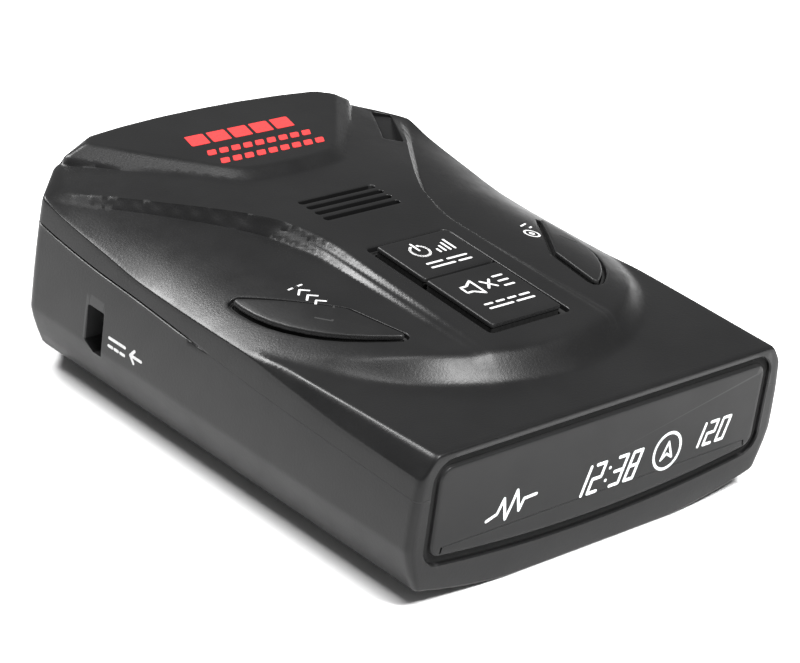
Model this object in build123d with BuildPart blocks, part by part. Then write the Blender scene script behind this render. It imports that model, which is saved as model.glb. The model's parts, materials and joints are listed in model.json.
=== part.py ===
from build123d import *
from math import atan, degrees
import os

# Dashboard radar detector, in millimetres.
# +X is the driver's right, +Y points forward to the windscreen, +Z is up.
# The display faces the driver, at -Y. Plan positions are given as a distance
# "behind" the display's top edge. Heights are given above a datum that lies
# "base" below the flat underside, and write() lowers every part by that much,
# so the origin is the middle of the footprint, on the flat strip underneath.

# ---------------------------------------------------------------- case sizes
length = 98.0
half_width_front = 38.0
half_width_rear = 39.2
deck_height = 27.2          # top of the display face and of the flat front deck
crown_height = 34.0         # top of the raised spine at the speaker
pad_height = 35.4           # top of the rear pad
base = 2.7                  # the flat strip underneath
foot_height = 5.9           # the bottom corners
rest_half_width = 16.0      # the flat strip underneath
wall = 2.2
front = -length / 2
rear = length / 2

# ---------------------------------------------------------------- button sizes
travel = 0.5
button_proud = 0.7
button_gap = 1.1
key_half_width = 7.2
key_front, key_split, key_rear = 19.3, 33.9, 45.0
split_gap = 0.3

# ---------------------------------------------------------------- inner levels
board_bottom, board_thickness = 5.6, 1.6
board_top = board_bottom + board_thickness
key_board_bottom, key_board_thickness = 22.4, 1.2
key_board_top = key_board_bottom + key_board_thickness
switch_size, switch_height = 4.2, 1.7
plunger_radius, plunger_height = 1.0, 0.7
plunger_top = key_board_top + switch_height + plunger_height
clearance = 0.05

# ---------------------------------------------------------------- fasteners
boss_radius, boss_foot = 3.0, 6.0
screw_radius, screw_head_radius, screw_head_height = 1.2, 2.2, 1.5
screw_seat_z = 7.5
front_boss, rear_boss = (31.0, 14.5), (31.0, 83.5)
front_boss_split, rear_boss_split = 20.0, 24.4
board_screw_radius, board_screw_head_radius, board_screw_head_height = 0.8, 1.5, 0.9
key_post_radius = 1.9

# ---------------------------------------------------------------- openings
inlet_distance, inlet_z, inlet_width, inlet_height = 71.0, 15.4, 4.0, 7.4
laser_width, laser_height, laser_z = 26.0, 6.4, 26.0
socket_x, socket_length, socket_width, socket_top = -35.0, 11.0, 5.6, 20.0
label_width, label_length, label_recess, label_thickness = 28.0, 34.0, 0.3, 0.2

os.makedirs("parts", exist_ok=True)


def behind(distance):
    """The Y of a point that lies this far behind the display's top edge."""
    return front + distance


def across(distance):
    """An upright plane across the case, with its own y axis along +Z."""
    return Plane.XZ.offset(-behind(distance))


def write(part, name):
    lowered = part.moved(Location((0, 0, -base)))
    lowered.label = name
    export_step(lowered, f"parts/{name}.step")


def mirrored_face(points):
    """A face from a half profile, given from the middle line to the middle line."""
    with BuildSketch() as shape:
        with BuildLine():
            Polyline(*points)
            mirror(about=Plane.YZ)
        make_face()
    return shape.sketch


# ================================================================ the envelope
def case_section(half_width, foot, crease, edge):
    """One upright section of the case: foot, crease and edge are (x, z)."""
    foot_x, foot_z = foot
    with BuildSketch() as shape:
        with BuildLine():
            Polyline((0, base), (rest_half_width, base))
            belly_mid = ((rest_half_width + foot_x) / 2, base + (foot_z - base) * 0.35)
            ThreePointArc((rest_half_width, base), belly_mid, (foot_x, foot_z))
            Polyline((foot_x, foot_z), (half_width - 0.7, foot_z + 4.0),
                     (half_width, foot_z + 7.0), crease, edge, (0, edge[1]))
            mirror(about=Plane.YZ)
        make_face()
    return shape.sketch


def plan_outline(inset=0.0):
    """The case seen from above."""
    w_front, w_rear = half_width_front - inset, half_width_rear - inset
    y_corner, y_shoulder = behind(87.2) - inset * 0.4, behind(94.2) - inset
    x_shoulder = 31.5 - inset * 0.7
    with BuildSketch() as shape:
        with BuildLine():
            Polyline((0, front), (w_front, front), (w_rear, y_corner), (x_shoulder, y_shoulder))
            ThreePointArc((x_shoulder, y_shoulder), (16.5, behind(97.1) - inset),
                          (0, rear - inset))
            mirror(about=Plane.YZ)
        make_face()
    return shape.sketch


with BuildPart() as lower_block:
    for distance, half_width, foot, crease, edge in (
        (0, half_width_front, (35.7, foot_height), (37.4, 23.8), (35.0, deck_height)),
        (32, 38.3, (35.9, foot_height), (37.6, 25.8), (36.6, deck_height)),
        (62, 38.7, (36.2, foot_height), (37.9, 26.6), (37.2, deck_height)),
        (98, half_width_rear, (36.6, foot_height), (38.6, 27.0), (38.3, 28.0)),
    ):
        with BuildSketch(across(distance)):
            add(case_section(half_width, foot, crease, edge))
    loft(ruled=True)

with BuildPart() as crown:
    # The raised rear of the top, with its lobes falling away to the sides.
    for distance, profile in (
        (6, ((37.0, 24.0), (34.2, 27.6), (29.0, 30.0), (18.0, 30.8))),
        (32, ((37.5, 25.0), (34.2, 28.2), (29.0, 30.5), (18.0, 31.0))),
        (60, ((38.0, 26.0), (35.4, 29.0), (30.0, 30.9), (19.0, 31.6))),
        (84, ((38.7, 29.4), (37.0, 31.2), (33.0, 32.2), (24.0, 32.6))),
        (99, ((39.4, 32.0), (38.0, 32.4), (33.0, 32.6), (24.0, 32.8))),
    ):
        with BuildSketch(across(distance)):
            add(mirrored_face([(0, 20), (profile[0][0], 20), *profile, (0, profile[-1][1])]))
    loft(ruled=True)
    # The bright step: two arcs across the case, the lower one further forward.
    with BuildPart(mode=Mode.PRIVATE) as step:
        for height, apex, end in ((19.0, 3.0, 26.5), (27.2, 9.0, 32.0), (35.6, 16.4, 42.5)):
            with BuildSketch(Plane.XY.offset(height)):
                with BuildLine():
                    ThreePointArc((-36.5, behind(end)), (0, behind(apex)), (36.5, behind(end)))
                    Polyline((36.5, behind(end)), (60, behind(end + 30)), (60, 70), (-60, 70),
                             (-60, behind(end + 30)), (-36.5, behind(end)))
                make_face()
        loft(ruled=True)
    add(step.part, mode=Mode.INTERSECT)

with BuildPart() as spine:
    # The hourglass ridge that carries the keys and the speaker slots.
    outer = ((14.6, 13.8), (14.3, 48), (16.5, 58), (20, 64), (24.5, 70), (32, 79.5), (45, 94))
    inner = ((11.8, 16.5), (11.5, 48), (13.8, 57), (17, 62.5), (21.5, 68.5), (29, 78), (40, 92))
    for height, edge in ((30.2, outer), (crown_height, inner)):
        with BuildSketch(Plane.XY.offset(height)):
            points = [(x, behind(y)) for x, y in edge]
            add(mirrored_face([(0, points[0][1]), *points, (points[-1][0], 60), (0, 60)]))
    loft(ruled=True)
    with BuildSketch(Plane.YZ):
        with BuildLine():
            Polyline((behind(5), 20), (behind(5), 30.6), (behind(14), 31.1), (behind(46), 33.1),
                     (behind(62), crown_height), (behind(100), crown_height),
                     (behind(100), 20), (behind(5), 20))
        make_face()
    extrude(amount=50, both=True, mode=Mode.INTERSECT)
    with BuildSketch(Plane.XZ):
        add(mirrored_face([(0, 20), (42, 20), (42, 30.6), (36, 31.4), (28, 32.8),
                           (14, crown_height), (0, crown_height)]))
    extrude(amount=60, both=True, mode=Mode.INTERSECT)

with BuildPart() as pad:
    # The bevelled pad at the rear that carries the badge.
    for height, inset in ((31.0, 0.0), (33.4, 0.0), (pad_height, 3.0)):
        with BuildSketch(Plane.XY.offset(height)):
            add(mirrored_face([
                (0, behind(70.6 + inset)), (10.8 - inset * 0.25, behind(70.6 + inset)),
                (30.2 - inset * 1.1, behind(93.4 - inset * 0.3)),
                (28.0 - inset, behind(95.4 - inset * 0.7)), (0, rear + 0.6 - inset * 0.5),
            ]))
    loft(ruled=True)

with BuildPart() as envelope:
    add(lower_block.part)
    add(crown.part)
    add(spine.part)
    add(pad.part)
    with BuildSketch(Plane.XY):
        add(plan_outline())
    extrude(amount=60, mode=Mode.INTERSECT)
    with BuildSketch(Plane.YZ):
        with BuildLine():
            Polyline((front, 0), (front, 60), (rear, 60), (rear, 0), (front, 0))
        make_face()
    extrude(amount=60, both=True, mode=Mode.INTERSECT)

# ================================================================ the hollow
with BuildPart() as hollow:
    with BuildSketch(across(5.0)):
        add(mirrored_face([(0, 4.7), (18.0, 4.7), (29.6, 5.5), (33.0, 8.4), (35.0, 12.0),
                           (35.0, 22.6), (33.4, 24.8), (0, 24.8)]))
    extrude(amount=-length)
    with BuildSketch(Plane.XY.offset(22.0)):
        with Locations((0, behind(57.5))):
            Rectangle(59.0, 71.0)
        with Locations((0, behind(78.0))):
            Rectangle(67.0, 34.0)
    extrude(amount=5.6)
    with BuildSketch(Plane.XY.offset(22.0)):
        with Locations((0, behind(32.5))):
            Rectangle(26.0, 33.0)
        with Locations((0, behind(60.0))):
            Rectangle(23.4, 23.0)
        with Locations((0, behind(83.2))):
            Rectangle(34.0, 27.4)
    extrude(amount=8.2)
    with BuildSketch(Plane.XY):
        add(plan_outline(inset=2.4))
    extrude(amount=60, mode=Mode.INTERSECT)
    with BuildSketch(Plane.XY):
        with Locations((0, behind(51.0))):
            Rectangle(90, 92)
    extrude(amount=60, mode=Mode.INTERSECT)

# ================================================================ display face
face_middle_z = 16.0
face_plane = Plane(origin=(0, front, face_middle_z), x_dir=(1, 0, 0), z_dir=(0, -1, 0))
window_half_width, window_top, window_foot, window_foot_mid = 35.0, 9.9, -6.4, -8.75
groove = 1.3
window_depth = 2.4


def window_outline(inset):
    """The display window's outline on the face."""
    w = window_half_width - inset
    with BuildSketch() as shape:
        with BuildLine():
            Polyline((-w, window_foot + inset), (-w, window_top - inset),
                     (w, window_top - inset), (w, window_foot + inset))
            ThreePointArc((w, window_foot + inset), (0, window_foot_mid + inset),
                          (-w, window_foot + inset))
        make_face()
        fillet(shape.vertices(), radius=max(3.4 - inset, 0.8))
    return shape.sketch


with BuildPart() as window_seat:
    with BuildSketch(face_plane):
        add(window_outline(0))
    extrude(amount=3)
    with BuildSketch(face_plane):
        add(window_outline(0))
    extrude(amount=-window_depth)
    with BuildSketch(face_plane):
        add(window_outline(3.2))
    extrude(amount=-8)

# ================================================================ openings on top
leaf_front, leaf_rear = (19.4, 23.6), (32.2, 48.6)


def leaf_outline(side, grow):
    """The side button's outline: a leaf with its tips towards front and rear."""
    front_tip = (side * leaf_front[0], behind(leaf_front[1]))
    rear_tip = (side * leaf_rear[0], behind(leaf_rear[1]))
    with BuildSketch() as shape:
        with BuildLine():
            ThreePointArc(front_tip, (side * 29.2, behind(33.2)), rear_tip)
            Polyline(rear_tip, (side * 21.6, behind(34.8)), front_tip)
        make_face()
        if grow:
            offset(amount=grow, kind=Kind.ARC)
    return shape.sketch


with BuildPart() as top_openings:
    with BuildSketch(Plane.XY.offset(24)):
        with Locations((0, behind((key_front + key_rear) / 2))):
            RectangleRounded(2 * (key_half_width + button_gap),
                             key_rear - key_front + 2 * button_gap, 0.8)
    extrude(amount=14)
    for side in (-1, 1):
        with BuildSketch(Plane.XY.offset(24)):
            add(leaf_outline(side, button_gap * 0.7))
        extrude(amount=14)
    with BuildSketch(Plane.XY.offset(24)):
        with Locations((0, behind(59.3))):
            with GridLocations(0, 2.0, 1, 4):
                SlotOverall(15.6, 1.1)
    extrude(amount=14)

parting_points = ((front - 2, 20.1), (behind(52), 21.9), (rear + 2, 27.2))
with BuildPart() as below_parting:
    with BuildSketch(Plane.YZ):
        with BuildLine():
            ThreePointArc(*parting_points)
            Polyline(parting_points[2], (rear + 2, -5), (front - 2, -5), parting_points[0])
        make_face()
    extrude(amount=60, both=True)

# The slot on the right that takes the bracket's tongue: a ramp down to a hole.
slot_rear, slot_front = (35.0, 91.0), (26.0, 77.6)
slot_angle = degrees(atan((slot_rear[1] - slot_front[1]) / (slot_rear[0] - slot_front[0])))
slot_length = 16.2
slot_middle = Plane(origin=(30.4, behind(84.4), 29.0)).rotated((0, 0, slot_angle))
with BuildPart() as bracket_ramp:
    with BuildSketch(Plane(slot_middle.origin, x_dir=slot_middle.x_dir,
                           z_dir=-slot_middle.y_dir)):
        with BuildLine():
            Polyline((slot_length / 2 + 4, 4.4), (slot_length / 2 + 4, 8), (-slot_length / 2, 8),
                     (-slot_length / 2, -0.6), (-slot_length / 2 + 1.6, -0.6),
                     (-slot_length / 2 + 1.8, 1.0), (slot_length / 2 + 4, 4.4))
        make_face()
    extrude(amount=1.8, both=True)

# The laser window's hole in the rear wall, across the parting line.
with BuildPart() as laser_hole:
    with BuildSketch(across(90)):
        with Locations((0, laser_z)):
            RectangleRounded(laser_width, laser_height, 1.5)
    extrude(amount=-12)

# ================================================================ posts for the boards
board_posts = [(x, behind(d)) for x in (-23.0, 23.0) for d in (22.0, 51.0)]
key_posts = [(x, behind(d)) for x in (-12.4, 12.4) for d in (19.6, 49.6)]

# ================================================================ upper case
with BuildPart() as upper_case:
    add(envelope.part)
    add(below_parting.part, mode=Mode.SUBTRACT)
    add(hollow.part, mode=Mode.SUBTRACT)
    for (x, distance), split in ((front_boss, front_boss_split), (rear_boss, rear_boss_split)):
        with BuildSketch(Plane.XY.offset(split + clearance)):
            with Locations((x, behind(distance)), (-x, behind(distance))):
                Circle(boss_radius)
        extrude(amount=5.6)
        with BuildSketch(Plane.XY.offset(split)):
            with Locations((x, behind(distance)), (-x, behind(distance))):
                Circle(screw_radius + clearance)
        extrude(amount=4.6, mode=Mode.SUBTRACT)
    with BuildSketch(Plane.XY.offset(key_board_top)):
        with Locations(*key_posts):
            Circle(key_post_radius)
    extrude(amount=7.2)
    with BuildSketch(Plane.XY.offset(key_board_top)):
        with Locations(*key_posts):
            Circle(board_screw_radius + clearance)
    extrude(amount=4.4, mode=Mode.SUBTRACT)
    for block in (window_seat, top_openings, bracket_ramp, laser_hole):
        add(block.part, mode=Mode.SUBTRACT)
write(upper_case.part, "upper_case")

with BuildPart() as lower_case:
    add(envelope.part)
    add(below_parting.part, mode=Mode.INTERSECT)
    add(hollow.part, mode=Mode.SUBTRACT)
    for (x, distance), split in ((front_boss, front_boss_split), (rear_boss, rear_boss_split)):
        with BuildSketch(Plane.XY.offset(boss_foot)):
            with Locations((x, behind(distance)), (-x, behind(distance))):
                Circle(boss_radius)
        extrude(amount=split - clearance - boss_foot)
        with BuildSketch(Plane.XY):
            with Locations((x, behind(distance)), (-x, behind(distance))):
                Circle(screw_head_radius + 0.3)
        extrude(amount=screw_seat_z, mode=Mode.SUBTRACT)
        with BuildSketch(Plane.XY):
            with Locations((x, behind(distance)), (-x, behind(distance))):
                Circle(screw_radius + 0.15)
        extrude(amount=split, mode=Mode.SUBTRACT)
    with BuildSketch(Plane.XY.offset(base + 1.0)):
        with Locations(*board_posts):
            Circle(2.2)
    extrude(amount=board_bottom - base - 1.0)
    with BuildSketch(Plane.XY.offset(3.2)):
        with Locations(*board_posts):
            Circle(board_screw_radius + clearance)
    extrude(amount=board_bottom, mode=Mode.SUBTRACT)
    for block in (window_seat, laser_hole):
        add(block.part, mode=Mode.SUBTRACT)
    with BuildSketch(Plane.YZ.offset(-half_width_rear - 1)):
        with Locations((behind(inlet_distance), inlet_z)):
            Rectangle(inlet_width, inlet_height)
    extrude(amount=6, mode=Mode.SUBTRACT)
    with BuildSketch(Plane.YZ.offset(socket_x - clearance)):
        with Locations((behind(inlet_distance), (board_top + socket_top) / 2)):
            Rectangle(socket_width + 2 * clearance, socket_top - board_top)
    extrude(amount=socket_length, mode=Mode.SUBTRACT)
    with BuildSketch(Plane.XY.offset(base)):
        with Locations((0, behind(52))):
            Rectangle(label_width + 0.6, label_length + 0.6)
    extrude(amount=label_recess, mode=Mode.SUBTRACT)
write(lower_case.part, "lower_case")

with BuildPart() as case_screws:
    # Four self-tapping screws, driven up from underneath.
    for x, distance in (front_boss, rear_boss):
        split = front_boss_split if distance == front_boss[1] else rear_boss_split
        with BuildSketch(Plane.XY.offset(screw_seat_z - screw_head_height)):
            with Locations((x, behind(distance)), (-x, behind(distance))):
                Circle(screw_head_radius)
        extrude(amount=screw_head_height)
        with BuildSketch(Plane.XY.offset(screw_seat_z)):
            with Locations((x, behind(distance)), (-x, behind(distance))):
                Circle(screw_radius)
        extrude(amount=split + 4.0 - screw_seat_z)
        with BuildSketch(Plane.XY.offset(screw_seat_z - screw_head_height)):
            with Locations((x, behind(distance)), (-x, behind(distance))):
                Rectangle(2.2, 0.5)
                Rectangle(0.5, 2.2)
        extrude(amount=0.9, mode=Mode.SUBTRACT)
write(case_screws.part, "case_screws")

with BuildPart() as rating_label:
    with BuildSketch(Plane.XY.offset(base + label_recess - label_thickness)):
        with Locations((0, behind(52))):
            RectangleRounded(label_width, label_length, 1.0)
    extrude(amount=label_thickness)
write(rating_label.part, "rating_label")

# ================================================================ display end
with BuildPart() as display_gasket:
    with BuildSketch(face_plane.offset(-0.7)):
        add(window_outline(0.02))
        add(window_outline(groove - 0.02), mode=Mode.SUBTRACT)
    extrude(amount=-(window_depth - 0.7))
write(display_gasket.part, "display_gasket")

with BuildPart() as display_window:
    with BuildSketch(face_plane):
        add(window_outline(groove))
    extrude(amount=-window_depth)
    chamfer(display_window.faces().sort_by(Axis.Y)[0].edges(), length=0.25)
write(display_window.part, "display_window")

module_width, module_height, module_thickness = 61.0, 14.6, 1.6
module_depth = 5.9
with BuildPart() as display_holder:
    # A dark frame that keeps stray light off the display and clips it to the case.
    with BuildSketch(face_plane.offset(-module_depth + 0.9)):
        Rectangle(module_width + 2.4, module_height + 0.9)
        Rectangle(module_width - 4.0, module_height - 3.2, mode=Mode.SUBTRACT)
    extrude(amount=-0.8)
    with BuildSketch(face_plane.offset(-module_depth + 0.1)):
        Rectangle(module_width + 2.4, module_height + 0.9)
        Rectangle(module_width + 0.1, module_height + 0.1, mode=Mode.SUBTRACT)
    extrude(amount=-2.4)
write(display_holder.part, "display_holder")

with BuildPart() as display_glass:
    with BuildSketch(face_plane.offset(-module_depth)):
        Rectangle(module_width, module_height)
    extrude(amount=-1.0)
write(display_glass.part, "display_glass")

with BuildPart() as display_board:
    with BuildSketch(face_plane.offset(-module_depth - 1.05)):
        Rectangle(module_width, module_height)
    extrude(amount=-1.0)
write(display_board.part, "display_board")

# ================================================================ main board
with BuildPart() as main_board:
    with BuildSketch(Plane.XY.offset(board_bottom)):
        with Locations((0, behind(48.5))):
            Rectangle(52.0, 76.0)
            Rectangle(57.0, 60.0)
        with Locations(*board_posts):
            Circle(board_screw_radius + 0.15, mode=Mode.SUBTRACT)
    extrude(amount=board_thickness)
write(main_board.part, "main_board")

with BuildPart() as board_screws:
    for posts, head_z, point in ((board_posts, board_top, -1), (key_posts, key_board_bottom, 1)):
        reach = 3.6
        with BuildSketch(Plane.XY.offset(head_z)):
            with Locations(*posts):
                Circle(board_screw_head_radius)
        extrude(amount=-point * board_screw_head_height)
        with BuildSketch(Plane.XY.offset(head_z)):
            with Locations(*posts):
                Circle(board_screw_radius)
        extrude(amount=point * reach)
write(board_screws.part, "board_screws")

# ================================================================ power inlet
with BuildPart() as dc_socket:
    with BuildSketch(Plane.YZ.offset(socket_x)):
        with Locations((behind(inlet_distance), (board_top + socket_top) / 2)):
            RectangleRounded(socket_width, socket_top - board_top - 2 * clearance, 0.5)
    extrude(amount=socket_length)
    with BuildSketch(Plane.YZ.offset(socket_x)):
        with Locations((behind(inlet_distance), inlet_z)):
            Rectangle(inlet_width, inlet_height)
    extrude(amount=socket_length - 1.5, mode=Mode.SUBTRACT)
    with BuildSketch(Plane.YZ.offset(socket_x + 2.0)):
        with Locations((behind(inlet_distance) + 0.7, inlet_z)):
            Rectangle(0.9, 5.4)
    extrude(amount=socket_length - 3.0)
write(dc_socket.part, "dc_socket")

with BuildPart() as dc_contacts:
    # Four blades that lie along the tongue, and their tails through the back.
    for z in (-1.8, -0.6, 0.6, 1.8):
        with BuildSketch(Plane.YZ.offset(socket_x + 2.6)):
            with Locations((behind(inlet_distance) + 0.7 - 0.45 - 0.13, inlet_z + z)):
                Rectangle(0.2, 0.6)
        extrude(amount=socket_length - 4.2)
write(dc_contacts.part, "dc_contacts")

# ================================================================ radar receiver
horn_rear, horn_throat, horn_back = 91.5, 66.0, 60.0
horn_base = board_top + 0.05


def horn_section(width, height, lift):
    with BuildSketch() as shape:
        with Locations((0, lift + height / 2)):
            Rectangle(width, height)
    return shape.sketch


with BuildPart() as horn_antenna:
    with BuildSketch(across(horn_throat)):
        add(horn_section(16.0, 10.0, horn_base))
    with BuildSketch(across(horn_rear)):
        add(horn_section(44.0, 14.6, horn_base))
    loft(ruled=True)
    with BuildSketch(across(horn_back)):
        add(horn_section(16.0, 10.0, horn_base))
    extrude(amount=-(horn_throat - horn_back))
    with BuildPart(mode=Mode.PRIVATE) as flare:
        with BuildSketch(across(horn_throat - 0.01)):
            add(horn_section(12.6, 6.8, horn_base + 1.6))
        with BuildSketch(across(horn_rear + 0.01)):
            add(horn_section(41.2, 11.8, horn_base + 1.4))
        loft(ruled=True)
    add(flare.part, mode=Mode.SUBTRACT)
    with BuildSketch(across(horn_back + 2.0)):
        add(horn_section(12.6, 6.8, horn_base + 1.6))
    extrude(amount=-(horn_throat - horn_back - 2.0), mode=Mode.SUBTRACT)
write(horn_antenna.part, "horn_antenna")

with BuildPart() as mixer_board:
    with BuildSketch(across(horn_back - 1.1)):
        add(horn_section(20.0, 12.0, horn_base))
    extrude(amount=-1.0)
write(mixer_board.part, "mixer_board")

with BuildPart() as rf_shield:
    # A pressed can over the mixer's amplifier, open towards the mixer board.
    with BuildSketch(across(horn_back - 7.2)):
        add(horn_section(18.0, 10.0, horn_base))
    extrude(amount=-6.0)
    fillet(rf_shield.edges().filter_by(Axis.Y), radius=0.8)
    with BuildSketch(across(horn_back - 6.8)):
        add(horn_section(17.2, 9.2, horn_base + 0.4))
    extrude(amount=-5.7, mode=Mode.SUBTRACT)
write(rf_shield.part, "rf_shield")

with BuildPart() as processor:
    with BuildSketch(Plane.XY.offset(board_top)):
        with Locations((0, behind(34.0))):
            Rectangle(12.0, 12.0)
    extrude(amount=1.4)
    chamfer(processor.faces().sort_by(Axis.Z)[-1].edges(), length=0.2)
write(processor.part, "processor")

with BuildPart() as backup_cell:
    with BuildSketch(Plane.XY.offset(board_top)):
        with Locations((17.5, behind(36.0))):
            Circle(5.0)
    extrude(amount=2.2)
    fillet(backup_cell.faces().sort_by(Axis.Z)[-1].edges(), radius=0.5)
write(backup_cell.part, "backup_cell")

with BuildPart() as gps_antenna:
    with BuildSketch(Plane.XY.offset(22.3)):
        with Locations((0, behind(79.0))):
            Rectangle(18.0, 18.0)
            Circle(0.9, mode=Mode.SUBTRACT)
    extrude(amount=4.0)
    chamfer(gps_antenna.edges().filter_by(Axis.Z), length=1.0)
write(gps_antenna.part, "gps_antenna")

with BuildPart() as gps_bracket:
    # A folded tray that lifts the aerial off the horn.
    with BuildSketch(Plane.XY.offset(21.9)):
        with Locations((0, behind(80.0))):
            Rectangle(22.0, 22.0)
    extrude(amount=0.35)
write(gps_bracket.part, "gps_bracket")

# ================================================================ laser receiver
with BuildPart() as laser_window:
    with BuildSketch(across(90)):
        with Locations((0, laser_z)):
            RectangleRounded(laser_width - 0.1, laser_height - 0.1, 1.45)
    extrude(amount=-12)
    with BuildSketch(Plane.XY):
        add(plan_outline(inset=0.1))
    extrude(amount=60, mode=Mode.INTERSECT)
    with BuildPart(mode=Mode.PRIVATE) as flange:
        with BuildSketch(across(90)):
            with Locations((0, laser_z)):
                RectangleRounded(laser_width + 3.0, laser_height + 1.4, 1.5)
        extrude(amount=-8)
        with BuildSketch(Plane.XY):
            add(plan_outline(inset=2.45))
        extrude(amount=60, mode=Mode.INTERSECT)
    add(flange.part)
    with BuildSketch(Plane.XY):
        add(plan_outline(inset=3.6))
    extrude(amount=60, mode=Mode.SUBTRACT)
write(laser_window.part, "laser_window")

with BuildPart() as laser_lens:
    # A round lens with its face towards the window well rounded over.
    with BuildSketch(across(91.8)):
        with Locations((0, laser_z)):
            Circle(3.2)
    extrude(amount=-2.2)
    fillet(laser_lens.edges().sort_by(Axis.Y)[-1], radius=1.5)
write(laser_lens.part, "laser_lens")

with BuildPart() as laser_sensor:
    with BuildSketch(across(90.1)):
        with Locations((0, laser_z)):
            Rectangle(12.0, 7.0)
    extrude(amount=-1.6)
write(laser_sensor.part, "laser_sensor")

# ================================================================ speaker
speaker_radius, speaker_top = 9.6, 30.0
with BuildPart() as speaker:
    with BuildSketch(Plane.XZ.offset(-behind(59.3))):
        with BuildLine():
            Polyline((0, speaker_top - 4.4), (5.0, speaker_top - 4.4), (5.0, speaker_top - 2.6),
                     (8.6, speaker_top - 1.0), (speaker_radius, speaker_top - 1.0),
                     (speaker_radius, speaker_top), (8.6, speaker_top), (6.0, speaker_top - 0.9),
                     (2.6, speaker_top - 0.9), (0, speaker_top - 0.4), (0, speaker_top - 4.4))
        make_face()
    revolve(axis=Axis((0, behind(59.3), 0), (0, 0, 1)))
write(speaker.part, "speaker")

with BuildPart() as speaker_cloth:
    with BuildSketch(Plane.XY.offset(speaker_top + 0.02)):
        with Locations((0, behind(59.3))):
            Circle(speaker_radius)
    extrude(amount=0.15)
write(speaker_cloth.part, "speaker_cloth")

# ================================================================ key board
key_centres = {
    "mute": (0.0, (key_front + key_split) / 2),
    "power": (0.0, (key_split + key_rear) / 2),
    "left": (-26.6, 36.6),
    "right": (26.6, 36.6),
}
with BuildPart() as key_board:
    with BuildSketch(Plane.XY.offset(key_board_bottom)):
        with Locations((0, behind(36.0))):
            Rectangle(59.6, 19.0)
        with Locations((0, behind(34.6))):
            Rectangle(30.0, 34.4)
        with Locations(*key_posts):
            Circle(board_screw_radius + 0.15, mode=Mode.SUBTRACT)
    extrude(amount=key_board_thickness)
write(key_board.part, "key_board")

with BuildPart() as board_connector:
    with BuildSketch(Plane.XY.offset(board_top)):
        with Locations((0, behind(22.0))):
            Rectangle(18.0, 3.6)
    extrude(amount=key_board_bottom - board_top - 0.02)
write(board_connector.part, "board_connector")

with BuildPart() as display_flex:
    # The ribbon from the display's board down to the main board.
    with BuildSketch(Plane.YZ):
        with BuildLine():
            path = Polyline((behind(8.95), 19.5), (behind(11.4), 19.5), (behind(13.0), 17.0),
                            (behind(13.0), board_top + 0.3))
            offset(path, amount=0.12, side=Side.BOTH)
        make_face()
    extrude(amount=10, both=True)
write(display_flex.part, "display_flex")

for name, (x, distance) in key_centres.items():
    with BuildPart() as switch:
        with BuildSketch(Plane.XY.offset(key_board_top)):
            with Locations((x, behind(distance))):
                Rectangle(switch_size, switch_size)
        extrude(amount=switch_height)
        with BuildSketch(Plane.XY.offset(key_board_top + 0.4)):
            with Locations((x, behind(distance))):
                Circle(plunger_radius + clearance)
        extrude(amount=switch_height, mode=Mode.SUBTRACT)
    write(switch.part, f"{name}_switch")
    with BuildPart() as plunger:
        with BuildSketch(Plane.XY.offset(key_board_top + 0.4 + travel + 0.1)):
            with Locations((x, behind(distance))):
                Circle(plunger_radius)
        extrude(amount=plunger_top - key_board_top - 0.5 - travel)
    write(plunger.part, f"{name}_plunger")

# ================================================================ keys
stem_radius = 1.6
for name, ahead, back in (("mute", key_front, key_split - split_gap / 2),
                          ("power", key_split + split_gap / 2, key_rear)):
    x, distance = key_centres[name]
    with BuildPart() as key:
        with BuildSketch(Plane.XY.offset(29.2)):
            with Locations((0, behind((ahead + back) / 2))):
                Rectangle(2 * key_half_width, back - ahead)
        extrude(amount=8)
        with BuildSketch(Plane.YZ):
            # The keys' tops rise towards the rear with the spine that they sit in.
            with BuildLine():
                Polyline((behind(key_front), 20), (behind(key_front), 31.3 + button_proud),
                         (behind(key_rear), 33.1 + button_proud), (behind(key_rear), 20),
                         (behind(key_front), 20))
            make_face()
        extrude(amount=20, both=True, mode=Mode.INTERSECT)
        chamfer(key.faces().sort_by(Axis.Z)[-1].edges(), length=0.35)
        with BuildSketch(Plane.XY.offset(plunger_top)):
            with Locations((x, behind(distance))):
                Circle(stem_radius)
        extrude(amount=29.2 - plunger_top)
    write(key.part, f"{name}_button")

for name, side in (("left", -1), ("right", 1)):
    x, distance = key_centres[name]
    with BuildPart() as key:
        with BuildSketch(Plane.XY.offset(27.0)):
            add(leaf_outline(side, 0))
        extrude(amount=8)
        with BuildPart(mode=Mode.PRIVATE) as lobe:
            for section_distance, inner_z, outer_z in ((20, 31.4, 29.0), (52, 31.7, 29.2)):
                with BuildSketch(across(section_distance)):
                    with BuildLine():
                        Polyline((side * 14, 20), (side * 14, inner_z + 0.1),
                                 (side * 27, inner_z - 0.2), (side * 36, outer_z - 0.9),
                                 (side * 36, 20), (side * 14, 20))
                    make_face()
            loft(ruled=True)
        add(lobe.part, mode=Mode.INTERSECT)
        with BuildSketch(Plane.XY.offset(plunger_top)):
            with Locations((x, behind(distance))):
                Circle(stem_radius)
        extrude(amount=27.0 - plunger_top)
    write(key.part, f"{name}_button")

# ================================================================ badge
with BuildPart() as badge:
    # Generic speed stripes, printed on the pad in three rows.
    slant = 1.1
    rows = ((86.6, 3.6, 5, 3.7), (81.6, 1.7, 9, 1.75), (78.2, 1.7, 9, 1.75))
    for row_distance, depth, count, width in rows:
        pitch = width + 0.7
        for index in range(count):
            x = (index - (count - 1) / 2) * pitch
            with BuildSketch(Plane.XY.offset(pad_height)):
                with BuildLine():
                    y = behind(row_distance)
                    Polyline((x - width / 2, y), (x + width / 2, y),
                             (x + width / 2 + slant, y + depth), (x - width / 2 + slant, y + depth),
                             (x - width / 2, y))
                make_face()
            extrude(amount=0.08)
write(badge.part, "pad_badge")
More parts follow.
